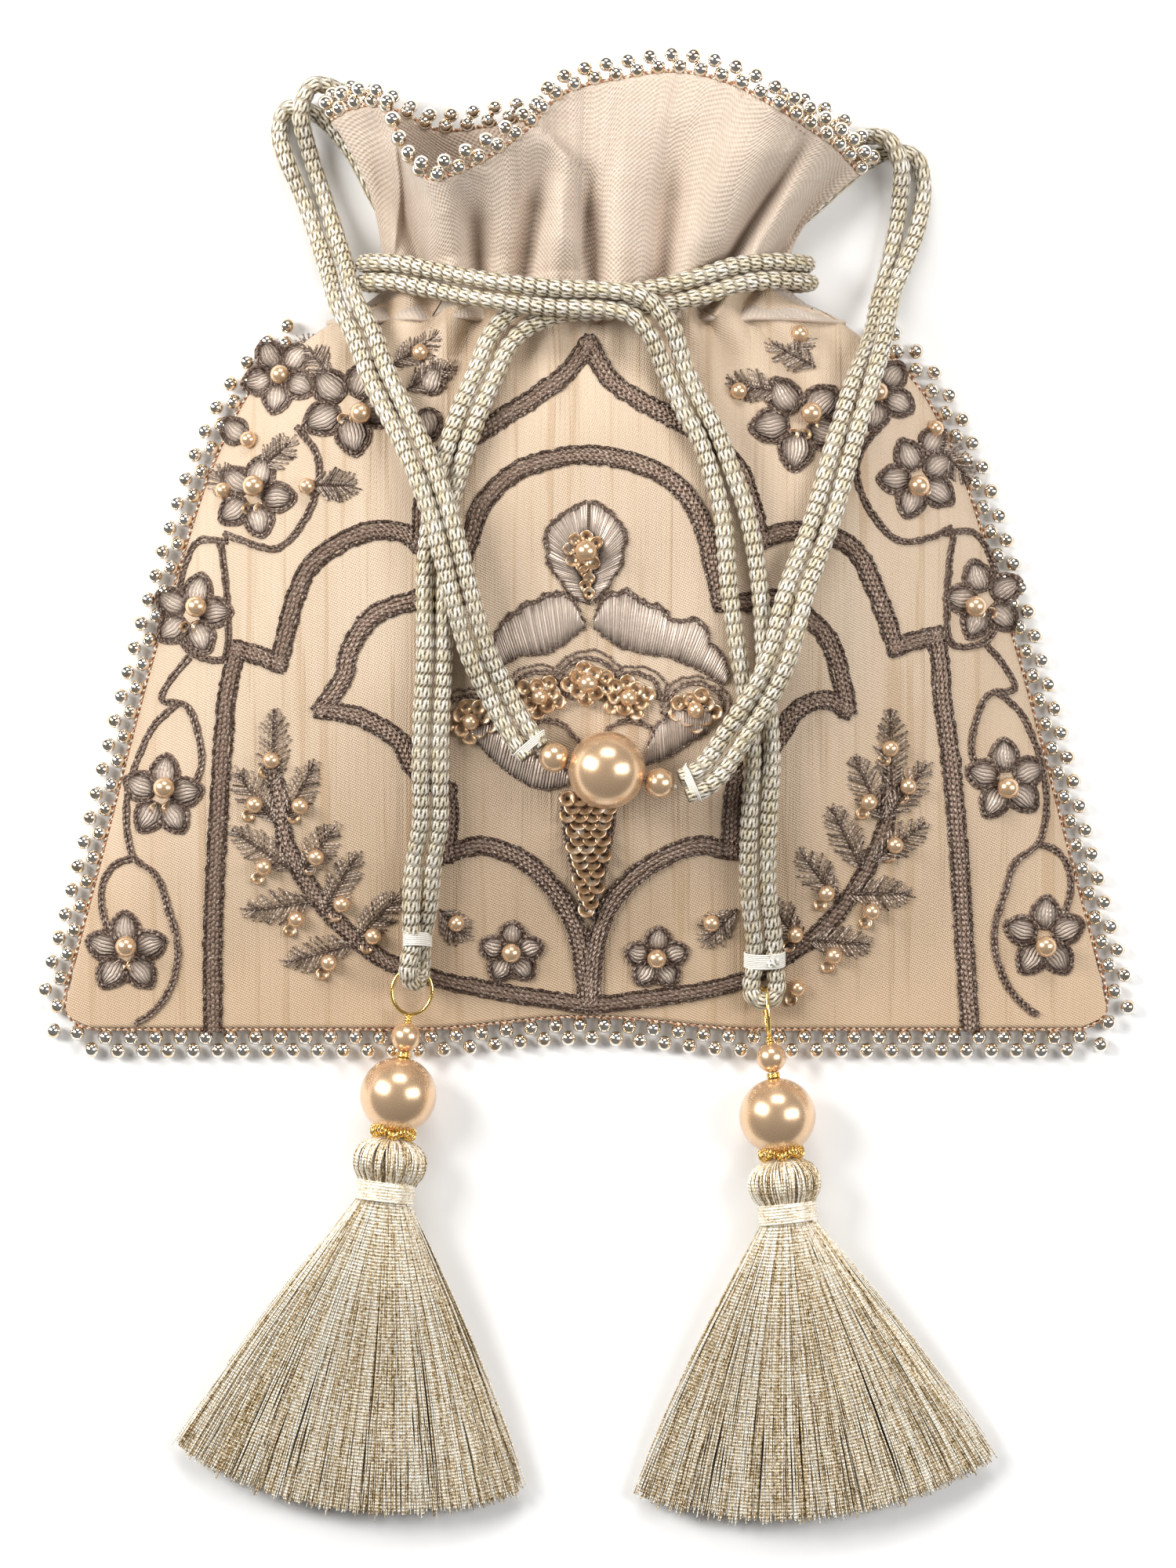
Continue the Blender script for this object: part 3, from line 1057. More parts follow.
# Yoke: the silk goes on up to the drawstring in gathered tongues, with the raw silk between them
# Notches between the tongues: x and half width
NOTCHES = ((-39, 3.2), (-24.5, 4.6), (5.2, 3.6), (20.5, 4.4), (39.5, 3.0))
YOKE_START_Y, YOKE_SEAM_Y = 37, 45.5
turns = np.linspace(0.015, FRONT_SHARE - 0.015, 170)
across_row = -np.cos(np.pi * turns / FRONT_SHARE)
reach = np.full_like(turns, 1.9)
top_x = collar_point(turns, np.full_like(turns, 2.0))[:, 0]
for notch_x, notch_half in NOTCHES:
    reach = np.minimum(reach, 0.12 + 1.8 * (np.abs(top_x - notch_x) / notch_half) ** 0.85)
grid = []
for level in np.linspace(0, 1, 18):
    row = collar_point(turns, np.maximum(level * reach, 0.02))
    foot_y = YOKE_START_Y + (YOKE_SEAM_Y - YOKE_START_Y) * min(1, level * 2.6)
    foot_x = across_row * float(eased(SIDE, foot_y)) * 0.985
    foot_row = np.full_like(foot_x, foot_y)
    foot = np.stack([foot_x, foot_row, front_height(foot_x, foot_row)], 1)
    share = np.clip(level * 2.6 - 0.25, 0, 1)
    share = share * share * (3 - 2 * share)
    lift = -0.30 + 0.45 * np.clip(level * 4, 0, 1) + 0.42 * np.clip(level * 2.6 - 0.5, 0, 1)
    row = foot * (1 - share) + row * share
    row[:, 2] += lift
    grid.append(row)
yoke = np.stack(grid)
below = yoke.copy()
below[..., 2] -= 0.4
points, faces = sheet_between(yoke, below)
deep = fold_depth(points[:, 0], np.maximum(points[:, 1], 52))[1]
low_share = np.clip((points[:, 1] - 40) / 8, 0, 1)
deep = deep * 1.3 * low_share + front_creases(points[:, 0], points[:, 1]) * (1 - low_share)
piece("yoke_silk", points, faces, silk, "bag", "silk", fold=np.clip(deep, 0, 1))

# ---- Bead edgings -----------------------------------------------------------------------------
# Small bright metal beads in two zig-zag rows on a crocheted copper and silver braid, sewn round the
# mouth and down the sides and along the bottom. The outer row has the inner one's beads between its own.
EDGE_BEAD_R = 1.62
EDGE_PITCH = 5.1
MOUTH_PITCH = 4.3

bright_metal = Finish("bright_silver_gilt_bead", roughness=0.07, metallic=1.0)
wear = bright_metal.noise(bright_metal.place(), 0.6, 3)
gilt = bright_metal.ramp(wear, (0.38, (0.78, 0.63, 0.45)), (0.58, (0.90, 0.87, 0.82)))
bright_metal.set("Base Color", gilt)
bright_metal.bump(wear, 0.04)

copper_braid = Finish("copper_silver_braid", roughness=0.35, metallic=0.6)
ply = copper_braid.sums("SINE", copper_braid.kept("along") * 4.2)
copper_braid.set("Base Color", copper_braid.mix((ply + 1) * 0.5, (0.42, 0.19, 0.10), (0.78, 0.66, 0.52)))
copper_braid.bump(ply, 0.2)


def bead_cloud(places, radius, around=14, rows=8):
    """Many small round beads in one mesh."""
    turn = np.linspace(0, 2 * np.pi, around, endpoint=False)
    rise = np.linspace(0.12, np.pi - 0.12, rows)
    shell = np.stack([
        np.outer(np.sin(rise), np.cos(turn)).ravel(),
        np.outer(np.sin(rise), np.sin(turn)).ravel(),
        np.repeat(np.cos(rise), around),
    ], 1) * radius
    one = tube_faces(rows, around)
    points = (np.asarray(places)[:, None] + shell[None]).reshape(-1, 3)
    faces = [tuple(k + j * len(shell) for k in face) for j in range(len(places)) for face in one]
    return points, faces


def zigzag(line, outward, near, far, pitch):
    """Bead places in two rows beside a line of fabric edge."""
    length = distance_along(line)
    count = int(length[-1] / pitch)
    marks = (np.arange(count) + 0.25) * length[-1] / count
    half = length[-1] / count / 2
    places = []
    for shift, off in ((0, far), (half, near)):
        m = marks + shift
        at = np.stack([np.interp(m, length, line[:, k]) for k in range(3)], 1)
        way = unit(np.stack([np.interp(m, length, outward[:, k]) for k in range(3)], 1))
        places.append(at + way * off)
    return np.vstack(places)


def braid(line, outward, off, radius, lift=0.0):
    """Two plies of thread twisted along an edge: points, faces, tone and distance along."""
    far = distance_along(line)
    core = line + outward * off + (0, 0, lift)
    side, over = carried_frames(core)
    parts = []
    twist = radius * 0.55
    for phase in (0, math.pi):
        swing = far * 2.6 + phase
        ply_line = core + side * (twist * np.cos(swing))[:, None] + over * (twist * np.sin(swing))[:, None]
        p, f = wire(ply_line, radius * 0.62, 5)
        parts.append((p, f, 0.5, np.repeat(far + phase, 5)))
    return joined(parts)


edge_points = [(-float(eased(SIDE, y)), y) for y in (44, 38, 30, 20, 10, 0, -20, -40, -60, -78)]
edge_points += [(-106.6, -91), (-106, -94.5), (-103.4, -96.6)]
edge_points += [(x, BOTTOM_Y + float(bottom_bow(x))) for x in (-98, -88, -70, -50, -36, -27, -18, -9)]
edge_points = edge_points + [(0, BOTTOM_Y + BOTTOM_BOW)] + [(-x, y) for x, y in edge_points[::-1]]
edge_line = smooth_line([(x, y, 1.9) for x, y in edge_points], 0.5)
run = unit(np.gradient(edge_line, axis=0))
edge_out = np.stack([run[:, 1], -run[:, 0], 0 * run[:, 0]], 1)
places = zigzag(edge_line, edge_out, 2.0, 4.7, EDGE_PITCH)
points, faces = bead_cloud(places, EDGE_BEAD_R)
piece("side_edging_beads", points, faces, bright_metal, "bag", "edging_beads", ["side_bead_edging"])
points, faces, tone, along = braid(edge_line, edge_out, 0.3, 0.42, 0.3)
piece("side_edging_braid", points, faces, copper_braid, "bag", "edging_beads", along=along)

mouth_up = unit(outer[-1] - outer[-3])
mouth_mid = outer[-1] - outward[-1] * COLLAR_THICK / 2
loop = np.vstack([mouth_mid, mouth_mid[:1]])
loop_up = np.vstack([mouth_up, mouth_up[:1]])
points, faces = bead_cloud(zigzag(loop, loop_up, 1.5, 3.95, MOUTH_PITCH), EDGE_BEAD_R)
piece("mouth_edging_beads", points, faces, bright_metal, "bag", "edging_beads", ["mouth_bead_edging"])
points, faces, tone, along = joined([braid(loop, loop_up, 0.4, 0.55), braid(loop, loop_up, -0.9, 0.45)])
piece("mouth_edging_braid", points, faces, copper_braid, "bag", "edging_beads", along=along)

# ---- Embroidery: outlines ---------------------------------------------------------------------
# Zardozi-style work in dark oxidised thread over the front. Each band is a filling of silver-taupe
# thread between two dark twisted outlines; vines are one or two plies of the dark thread.
BAND_WIDTH = 3.3
SWAG_WIDTH = 3.0
PLY_HALF = 0.36
THREAD_STEP = 0.75

dark_thread = Finish("oxidised_dark_thread", roughness=0.42, metallic=0.25)
lay = dark_thread.kept("along")
shade = dark_thread.kept("tone")
ply = dark_thread.sums("SINE", lay * 5.2)
flecks = dark_thread.noise(dark_thread.place(), 1.6, 3, 0.7)
light_ply = dark_thread.mix(shade, (0.085, 0.042, 0.026), (0.43, 0.295, 0.225))
glossy = dark_thread.mix((flecks - 0.50) * 4.6, light_ply, (0.80, 0.66, 0.54))
dark_thread.set("Base Color", dark_thread.mix((ply + 1) * 0.20, glossy, (0.036, 0.020, 0.013)))
dark_thread.set("Roughness", 0.34 + 0.25 * flecks)
dark_thread.bump(ply + flecks, 0.22)

satin_thread = Finish("silver_taupe_satin_stitch", roughness=0.34, metallic=0.3)
stitch = satin_thread.kept("along")
middle = satin_thread.kept("tone")
stitch_noise = satin_thread.noise(satin_thread.place(), 1.4, 3, 0.7)
ridge = satin_thread.sums("SINE", stitch * 7.5)
sheen = satin_thread.mix(middle * 1.5 - 0.42, (0.085, 0.045, 0.03), (0.84, 0.69, 0.58))
sheen = satin_thread.mix((stitch_noise - 0.45) * 2.0, sheen, (0.82, 0.68, 0.56))
satin_thread.set("Base Color", satin_thread.mix((ridge + 1) * 0.20, sheen, (0.06, 0.042, 0.032)))
satin_thread.bump(ridge + stitch_noise, 0.20)


def on_silk(line, lift):
    """A flat line of (x, y) laid on the front, lift above its silk."""
    line = np.asarray(line, float)
    return np.column_stack([line[:, 0], line[:, 1], front_height(line[:, 0], line[:, 1]) + lift])


def side_steps(line):
    """Direction square to a flat line at each of its points."""
    run = unit(np.gradient(line, axis=0))
    return np.stack([-run[:, 1], run[:, 0]], 1)


def thread_on(line, radius, lift, tone, wobble=0.12):
    """One thick thread laid along a flat line: points, faces, tone, along."""
    shake = np.stack([seeded.normal(0, wobble, len(line)), seeded.normal(0, wobble, len(line))], 1)
    path = on_silk(line + shake, lift)
    far = distance_along(path)
    p, f = wire(path, radius, 5)
    turn = np.tile(np.arange(5) * 2 * np.pi / 5 / 5.2, len(path))
    return p, f, tone, np.repeat(far, 5) + turn


def band_on(route, width=BAND_WIDTH):
    """A filled band: two dark outlines and three lighter plies between."""
    route = np.asarray(route, float)
    start, end = unit(route[0] - route[1]) * width * 0.42, unit(route[-1] - route[-2]) * width * 0.42
    line = smooth_line(np.vstack([route[0] + start, route, route[-1] + end]), THREAD_STEP)
    side = side_steps(line)
    parts = []
    for off, radius, lift, tone in (
        (-0.5, PLY_HALF, 0.22, 0.0), (0.5, PLY_HALF, 0.22, 0.0), (-0.25, 0.44, 0.16, 0.7), (0, 0.44, 0.18, 1.0),
        (0.25, 0.44, 0.16, 0.75),
    ):
        parts.append(thread_on(line + side * off * width, radius, lift, tone))
    return parts


def corner_line(points, step):
    """Straight runs between points, cut into even steps."""
    p = np.asarray(points, float)
    far = distance_along(p)
    marks = np.linspace(0, far[-1], max(2, int(far[-1] / step)))
    return np.stack([np.interp(marks, far, p[:, k]) for k in range(2)], 1)


ARCH_LEFT = [
    [(-76.6, -96.8), (-76.4, -77), (-75.3, -57.4), (-74, -37.8), (-73, -28), (-71.1, -19.7)],
    [(-71.1, -19.7), (-66.8, -21), (-62.5, -22.6)],
    [
        (-62.5, -22.6), (-60.7, -15.2), (-59.1, -9.3), (-56.1, -3), (-49.2, 2.1), (-42.8, 4.2),
        (-36.6, 3.5), (-33.2, 0.8),
    ],
    [
        (-33.2, 0.8), (-33.2, 8.8), (-31.3, 16.8), (-26.8, 21.3), (-21.8, 23.7), (-15.8, 27.7),
        (-9.5, 31.8), (-4.1, 36), (0.6, 42.1),
    ],
]
ARCH_RIGHT = [
    [
        (0.6, 42.1), (4.7, 35), (10.8, 30.6), (19, 26.1), (25.2, 22.2), (30.8, 16.8), (33.7, 8.8),
        (35.3, 2.1),
    ],
    [(35.3, 2.1), (41.4, 4.2), (50.6, 2.7), (55.1, -0.2), (58.5, -7), (60.9, -13), (63, -19.4)],
    [(63, -19.4), (66.8, -18.1), (71.3, -17)],
    [(71.3, -17), (72.2, -22.7), (72.7, -30.1), (74.2, -40.3), (76.4, -63.2), (77.5, -79.2), (78.8, -96.5)],
]
MEDALLION = [
    [(-34, -9.8), (-30, -10.7), (-26, -9.4)],
    [
        (-26, -9.4), (-25.2, -2.4), (-23.3, 2.4), (-21.4, 8.6), (-15.6, 15), (-8.7, 18.1), (0.7, 19.4),
        (11, 17.4), (18.5, 13.1), (23, 6.7), (25.5, -2.1), (27.3, -10.4),
    ],
    [
        (27.3, -10.4), (32.4, -10.4), (39.4, -9.8), (45.7, -14.1), (48.7, -17), (51.1, -22.7),
        (52.6, -29.1), (53, -32),
    ],
    [(53, -32), (48.7, -30.1), (42.5, -32.5), (39.4, -37.6), (34.8, -42.4), (30.5, -46.2)],
    [(30.5, -46.2), (29.8, -52), (29.7, -60.8)],
    [
        (29.7, -60.8), (23, -59.7), (16.2, -61.9), (9.5, -66.4), (4.9, -71.8), (2.6, -77.6), (1.4, -84.3),
        (1, -91.7),
    ],
    [(-34, -9.8), (-42.8, -12.8), (-47.9, -19.8), (-49.2, -25.4), (-53.7, -32)],
    [(-53.7, -32), (-47.6, -33.1), (-42.8, -35), (-37.8, -38.7), (-34.6, -44.5), (-28.2, -48.5)],
    [(-28.2, -48.5), (-27.8, -55.2), (-28.7, -61.6)],
    [
        (-28.7, -61.6), (-22, -59.7), (-15.3, -61.4), (-10.8, -64.2), (-6.3, -69.1), (-2.6, -75.4),
        (-0.9, -82.1), (0.4, -91.7),
    ],
]
SWAG = [
    [
        (-63.8, -44.6), (-62.3, -51.5), (-61.4, -58.4), (-58.3, -65.3), (-54.5, -71), (-49.2, -77),
        (-42.8, -82.4), (-31.9, -86.7), (-24.2, -88.5), (-15.3, -90.2), (-6.3, -91.5), (0.4, -92.5),
        (7.1, -92), (16.2, -90.7), (25.2, -89.3), (33.2, -87), (40.4, -82.7), (46.8, -78.4), (53.2, -71.2),
        (58, -63.2), (61.2, -55.2), (62.3, -44.8),
    ],
]
VINES = [
    [(-59.1, 25.6), (-55.3, 20.8), (-54.3, 15.2), (-56.9, 7.2), (-62.8, 0.8), (-70, 2.4), (-74, 4)],
    [
        (-73.2, 2.4), (-79.6, 2.4), (-83.1, -5.6), (-84.1, -13.6), (-81.2, -20), (-74, -21.6), (-73.2, -12),
        (-74, -2.4), (-74.8, 2.4),
    ],
    [
        (-81.2, -21.3), (-85.2, -26.1), (-86.8, -30.1), (-81.8, -31.2), (-79, -37.8), (-78.6, -43.7),
        (-80.4, -48),
    ],
    [
        (-83.8, -30.9), (-88.7, -35.4), (-91.6, -41.3), (-93.7, -47.5), (-94.3, -53.4), (-93.7, -59.4),
        (-92.6, -62.2), (-87.8, -66.2), (-85.8, -72), (-83.8, -79.4), (-84.2, -85.8), (-86.8, -91.7),
        (-90.2, -95), (-92.6, -96.5),
    ],
    [(-92.6, -62.2), (-96.6, -63.7), (-99, -67.2), (-99.4, -72), (-98, -77.4)],
]
RIGHT_VINES = [
    [(59.9, 25.6), (56.1, 20.8), (55.1, 15.2), (58, 8), (63.6, 2.4), (70.8, 3.2), (74.8, 5.3)],
    [
        (73.2, 4), (79.6, 4.3), (83.6, -2.4), (84.9, -10.4), (82.3, -17.6), (74.8, -18.7), (73.7, -10.4),
        (74.3, -1.6), (75.3, 4),
    ],
    [(81.7, -18.4), (85.8, -23.2), (87.8, -27.7), (82.3, -29), (79.4, -35.2), (78.8, -40.8), (80.4, -44.8)],
    [
        (84.2, -28.3), (89.2, -32.8), (91.9, -38.4), (93.8, -44.8), (94.5, -50.7), (93.8, -56.5),
        (92.6, -59.4), (87.8, -63.4), (85.8, -69.3), (83.8, -76.5), (84.2, -82.7), (86.8, -89.1),
        (90.2, -92.8), (92.6, -94.6),
    ],
    [(92.6, -59.4), (96.4, -60.8), (99, -64.3), (99.4, -69.1), (98, -74.6)],
]

def sewn(name, parts, finish):
    """Bunches of thread sewn on the front as one piece."""
    points, faces, tone, along = joined(parts)
    piece(name, points, faces, finish, "bag", "silk", tone=tone, along=along)


sewn("arch_embroidery", [part for route in ARCH_LEFT + ARCH_RIGHT for part in band_on(route)], dark_thread)
sewn("medallion_embroidery", [part for route in MEDALLION for part in band_on(route)], dark_thread)
parts = [part for route in SWAG for part in band_on(route, SWAG_WIDTH)]
for route in VINES + RIGHT_VINES:
    line = smooth_line(route, THREAD_STEP)
    side = side_steps(line)
    parts.append(thread_on(line - side * PLY_HALF, PLY_HALF, 0.3, 0.25, 0.08))
    parts.append(thread_on(line + side * PLY_HALF, PLY_HALF, 0.3, 0.35, 0.08))
sewn("swag_and_vine_embroidery", parts, dark_thread)

# ---- Embroidery: flowers, leaves and the centre motif -------------------------------------------
# Padded satin-stitch petals with a dark corded rim; leaves of loose feather stitches; pearls, and
# pierced copper sequins sewn down one over the next.
PEARL_R = 2.2
LEAF_PEARL_R = 1.75
SEWN_PEARL_R = 2.0
RIM_STEP = 0.7
BIG_FLOWER = {"length": 7.4, "width": 6.6, "inner": 2.3}
TRAIL_FLOWER = {"length": 6.3, "width": 5.7, "inner": 1.9}
PATCH_DOME = 0.9
COLUMN_ROWS = 15

petal_parts, rim_parts, leaf_parts = [], [], []


def petal(centre, heading, length, width):
    """One padded petal from its root at centre: satin stitches across, dark rim around."""
    centre, along_way = np.asarray(centre, float), np.array((math.cos(heading), math.sin(heading)))
    side_way = np.array((-along_way[1], along_way[0]))
    steps, spans = 15, 9
    t = np.linspace(0, 1, steps)
    half = width / 2 * np.sin(np.pi * np.clip(t, 0.02, 0.98) ** 0.8) ** 0.62
    s = np.linspace(-1, 1, spans)
    T, S = np.meshgrid(t, s, indexing="ij")
    reach = T * length
    flat = centre + reach[..., None] * along_way + (S * half[:, None])[..., None] * side_way
    flat = flat + seeded.normal(0, 0.05, flat.shape)
    swell = np.sqrt(np.maximum(0, 1 - S ** 2)) * np.sin(np.pi * np.clip(T, 0.03, 0.97)) ** 0.5
    z = front_height(flat[..., 0], flat[..., 1]) + 0.12 + swell * (1 + 0.10 * np.sin(T * 47))
    grid = np.concatenate([flat, z[..., None]], axis=-1).reshape(-1, 3)
    k = np.arange(steps * spans).reshape(steps, spans)
    faces = np.stack([k[:-1, :-1], k[1:, :-1], k[1:, 1:], k[:-1, 1:]], -1).reshape(-1, 4).tolist()
    light = (1 - np.abs(S) ** 1.5) * np.sin(np.pi * T) ** 0.7
    petal_parts.append((grid, faces, light.ravel(), (S * width * 0.55 + 0.15 * np.sin(T * 9)).ravel()))
    outline = np.vstack([
        centre + reach[:, 0:1] * along_way - (half * 1.03)[:, None] * side_way,
        centre + reach[::-1, -1:] * along_way + (half[::-1] * 1.03)[:, None] * side_way,
    ])
    outline = np.vstack([outline, outline[:1]])
    around = centre + (outline - centre) * 1.09 + (0.05, 0)
    rim_parts.append(thread_on(corner_line(outline, RIM_STEP), 0.36, 0.32, 0.15, 0.06))
    rim_parts.append(thread_on(corner_line(around, RIM_STEP), 0.26, 0.22, 0.5, 0.07))


def flower(x, y, start, length, width, inner):
    """Five petals round a point, their roots inner away from it."""
    for i in range(5):
        heading = start + i * 2 * math.pi / 5 + seeded.normal(0, 0.05)
        way = np.array((math.cos(heading), math.sin(heading)))
        petal(np.array((x, y)) + way * inner, heading, length, width)


def feather(root, tip, width, stitches):
    """A leaf of loose straight stitches slanting off a midrib."""
    root, tip = np.asarray(root, float), np.asarray(tip, float)
    way = tip - root
    length = np.linalg.norm(way)
    way = way / length
    side = np.array((-way[1], way[0]))
    for i in range(stitches):
        t = (i + 0.5) / stitches
        for hand in (-1, 1):
            start = root + way * length * t * 0.92 + side * hand * 0.1
            reach = width / 2 * math.sin(math.pi * min(1, t * 0.9 + 0.1)) ** 0.7
            reach *= 0.8 + 0.35 * seeded.random()
            end = start + way * (1.6 + 1.2 * seeded.random()) + side * hand * reach
            line = np.linspace(start, end, 4)
            lift = np.array((0.15, 0.55, 0.5, 0.12)) + 0.25 * seeded.random()
            path = on_silk(line, 0) + np.column_stack([0 * lift, 0 * lift, lift])
            p, f = wire(path, 0.17, 4)
            shade = 0.25 + 0.75 * seeded.random()
            leaf_parts.append((p, f, shade, np.repeat(np.arange(4.0), 4)))
    rim_parts.append(thread_on(corner_line([root, tip], 0.8), 0.28, 0.45, 0.1, 0.08))


def sequin(x, y, radius=1.35, hole=0.42, tilt=0.0, turn=0.0, lift=0.4):
    """A pierced cupped sequin: points, faces."""
    count = 18
    angle = np.linspace(0, 2 * np.pi, count, endpoint=False)
    rings = [
        (hole, 0.0), (radius * 0.75, 0.02), (radius, 0.22), (radius, 0.12), (radius * 0.75, -0.07),
        (hole, -0.08),
    ]
    rings = [np.stack([r * np.cos(angle), r * np.sin(angle), np.full(count, h)], 1) for r, h in rings]
    local = np.vstack(rings)
    local[:, 2] += math.tan(tilt) * (local[:, 0] * math.cos(turn) + local[:, 1] * math.sin(turn))
    z = float(front_height(np.array(x), np.array(y))) + lift
    return local + (x, y, z), tube_faces(6, count, closed=True)


def sequin_by(x, y, off, turn, radius, squash=1.0, **look):
    """A sequin off a point, in the direction turn."""
    return sequin(x + off * math.cos(turn), y + off * math.sin(turn) * squash, radius, turn=turn, **look)


FLOWERS = [
    [(-94.3, -81.8), (-86.8, -49.6), (-80.7, -12.5), (-67.8, 11.5), (-48.1, 29.6)],
    [(94, -78.7), (86, -46.4), (81.7, -9.6), (67.9, 15.2), (43.3, 26.4)],
]
sequins = []
for hand, places in zip((-1, 1), FLOWERS):
    for k, (x, y) in enumerate(places):
        big = k == len(places) - 1
        flower(x, y, math.pi / 2 + hand * 0.12 * k, **(BIG_FLOWER if big else TRAIL_FLOWER))
        for j in range(3 if big else 2):
            sequins.append(sequin_by(x, y, 2.9, -math.pi / 2 + (j - 0.5) * 0.9, 1.2, tilt=0.1, lift=0.6))

# Each leaf: its root on the stem, then its tip
LEAVES = [
    (-64.1, -48.8), (-63.4, -32), (-63.3, -55.2), (-71.3, -44.8), (-61.7, -55.2), (-55.3, -43.2),
    (-60.1, -64.8), (-72.4, -56.5), (-58.8, -66.4), (-51.1, -56), (-55.3, -71.2), (-69.7, -73.1),
    (-53.7, -73.6), (-46.8, -61.6), (-47.6, -80), (-61.5, -83.7), (-47.3, -79.2), (-38.3, -69.9),
    (-56.2, 13.6), (-47.3, 13.3), (62.3, -48.8), (62, -32), (61.2, -54.4), (69.5, -43.2), (60.9, -55.2),
    (54.5, -41.6), (58.3, -63.2), (69.2, -55.2), (56.4, -64.8), (50, -52), (53.2, -69.6), (66, -69.6),
    (51.6, -71.2), (43.9, -61.3), (45.2, -79.2), (58, -80), (44.4, -80), (37.2, -71.2), (-66.8, 16.8),
    (-60.1, 22.4), (-30, -72.8), (-24.9, -78.4), (30.8, -72.8), (24.4, -79.2), (-39.6, 37.6), (-29.2, 44.8),
    (-36.4, 32.8), (-27.6, 37.6), (46.8, 37.6), (38, 42.4), (40.4, 32), (29.2, 34.4), (42, 40),
    (46.8, 48.8), (-52.4, 36), (-58, 44), (-71.6, 10.4), (-75.6, 16.8), (70.8, 23.2), (78.8, 15.2),
]
LEAF_PEARLS = [
    (-64.1, -42.4), (-67.6, -51.4), (-58.3, -51.7), (-65.8, -64.2), (-55.1, -62.2), (-59.3, -74.9),
    (-50, -71.8), (-52.7, -83.8), (-43.6, -78.4), (62, -40), (65.7, -47.7), (57.7, -50.9), (63.1, -59.7),
    (49.2, -69.6), (58.5, -73.3), (42.8, -78.1), (50.8, -82.4), (43.3, -89.1), (-26.5, -75.7),
    (25.7, -75.7), (-56.7, 13.3), (-33.7, 40.5), (43.6, 44.5), (31, 32.5), (-69, 23.2), (71.6, 25.6),
    (-74.2, 12.8), (-9.4, -29.6), (8.6, -29.8), (22.2, -32.3), (-23.3, -34.6),
]
# The first pearls are those of the two leafy sprays
SPRAY_PEARLS = 18
BOTTOM_FLOWERS = [(-15.3, -81.8), (14.5, -83)]
SHOULDER_FLOWERS = [(-62.6, 36.5), (59.6, 32.8)]
SEWN_PEARLS = [*BOTTOM_FLOWERS, (0.4, -26.9), *SHOULDER_FLOWERS]
for k in range(0, len(LEAVES), 2):
    feather(LEAVES[k], LEAVES[k + 1], 6.6, 17)
for x, y in LEAF_PEARLS[:SPRAY_PEARLS]:
    sequins.append(sequin_by(x, y, 2.7, 4.2, 1.35, lift=0.35, tilt=0.06))
for x, y in BOTTOM_FLOWERS:
    flower(x, y, 0.3, length=4.6, width=4.8, inner=1.7)
for x, y in SHOULDER_FLOWERS:
    flower(x, y, 0.8, length=5.8, width=5.6, inner=2.0)

# Buds near the shoulders and a round one by the cord: x, y and heading
for x, y, heading in ((-32.4, 32, 1.2), (-32.4, 28.8, -1.4), (-70, 23.2, 2.4), (69.2, 20.8, 0.9)):
    petal((x, y), heading, 6.0, 5.2)


# Centre motif: a drop petal over a scalloped fan, a tier of sequins, two crescents and a column
def satin_patch(upper, lower, lobes=3, lobe=1.3):
    """Padded satin stitch between two edges, with loose brown threads along them."""
    count, spans = 80, 8
    edges = []
    for edge in (lower, upper):
        line = smooth_line(edge, 0.4)
        marks = np.linspace(0, len(line) - 1, count)
        edges.append(np.stack([np.interp(marks, np.arange(len(line)), line[:, k]) for k in range(2)], 1))
    scallop = lobe * (np.abs(np.sin(np.pi * lobes * np.linspace(0, 1, count))) ** 0.7 - 0.45)
    edges[1] = edges[1] + unit(edges[1] - edges[0]) * scallop[:, None]
    t = np.linspace(0, 1, spans)[None, :, None]
    flat = edges[0][:, None] * (1 - t) + edges[1][:, None] * t
    flat = flat + seeded.normal(0, 0.10, (count, 1, 2)) * t
    T = np.broadcast_to(t[..., 0], flat.shape[:2])
    swell = np.sin(np.pi * np.clip(T, 0.03, 0.97)) ** 0.6
    z = front_height(flat[..., 0], flat[..., 1]) + 0.15 + PATCH_DOME * swell
    z = z + 0.10 * np.sin(np.arange(count) * 2.4)[:, None]
    grid = np.concatenate([flat, z[..., None]], -1).reshape(-1, 3)
    k = np.arange(count * spans).reshape(count, spans)
    faces = np.stack([k[:-1, :-1], k[1:, :-1], k[1:, 1:], k[:-1, 1:]], -1).reshape(-1, 4).tolist()
    far = distance_along(edges[1])
    light = 0.25 + 0.9 * np.sin(np.pi * np.clip(T, 0.02, 0.98)) ** 0.8 + seeded.normal(0, 0.08, (count, 1))
    petal_parts.append((grid, faces, light.ravel(), np.repeat(far * 1.3, spans)))
    for edge, lift in ((edges[1], 0.3), (edges[1] * 0.93 + edges[0] * 0.07, 0.5), (edges[0], 0.22)):
        rim_parts.append(thread_on(corner_line(edge, RIM_STEP), 0.28, lift, 0.32, 0.20))


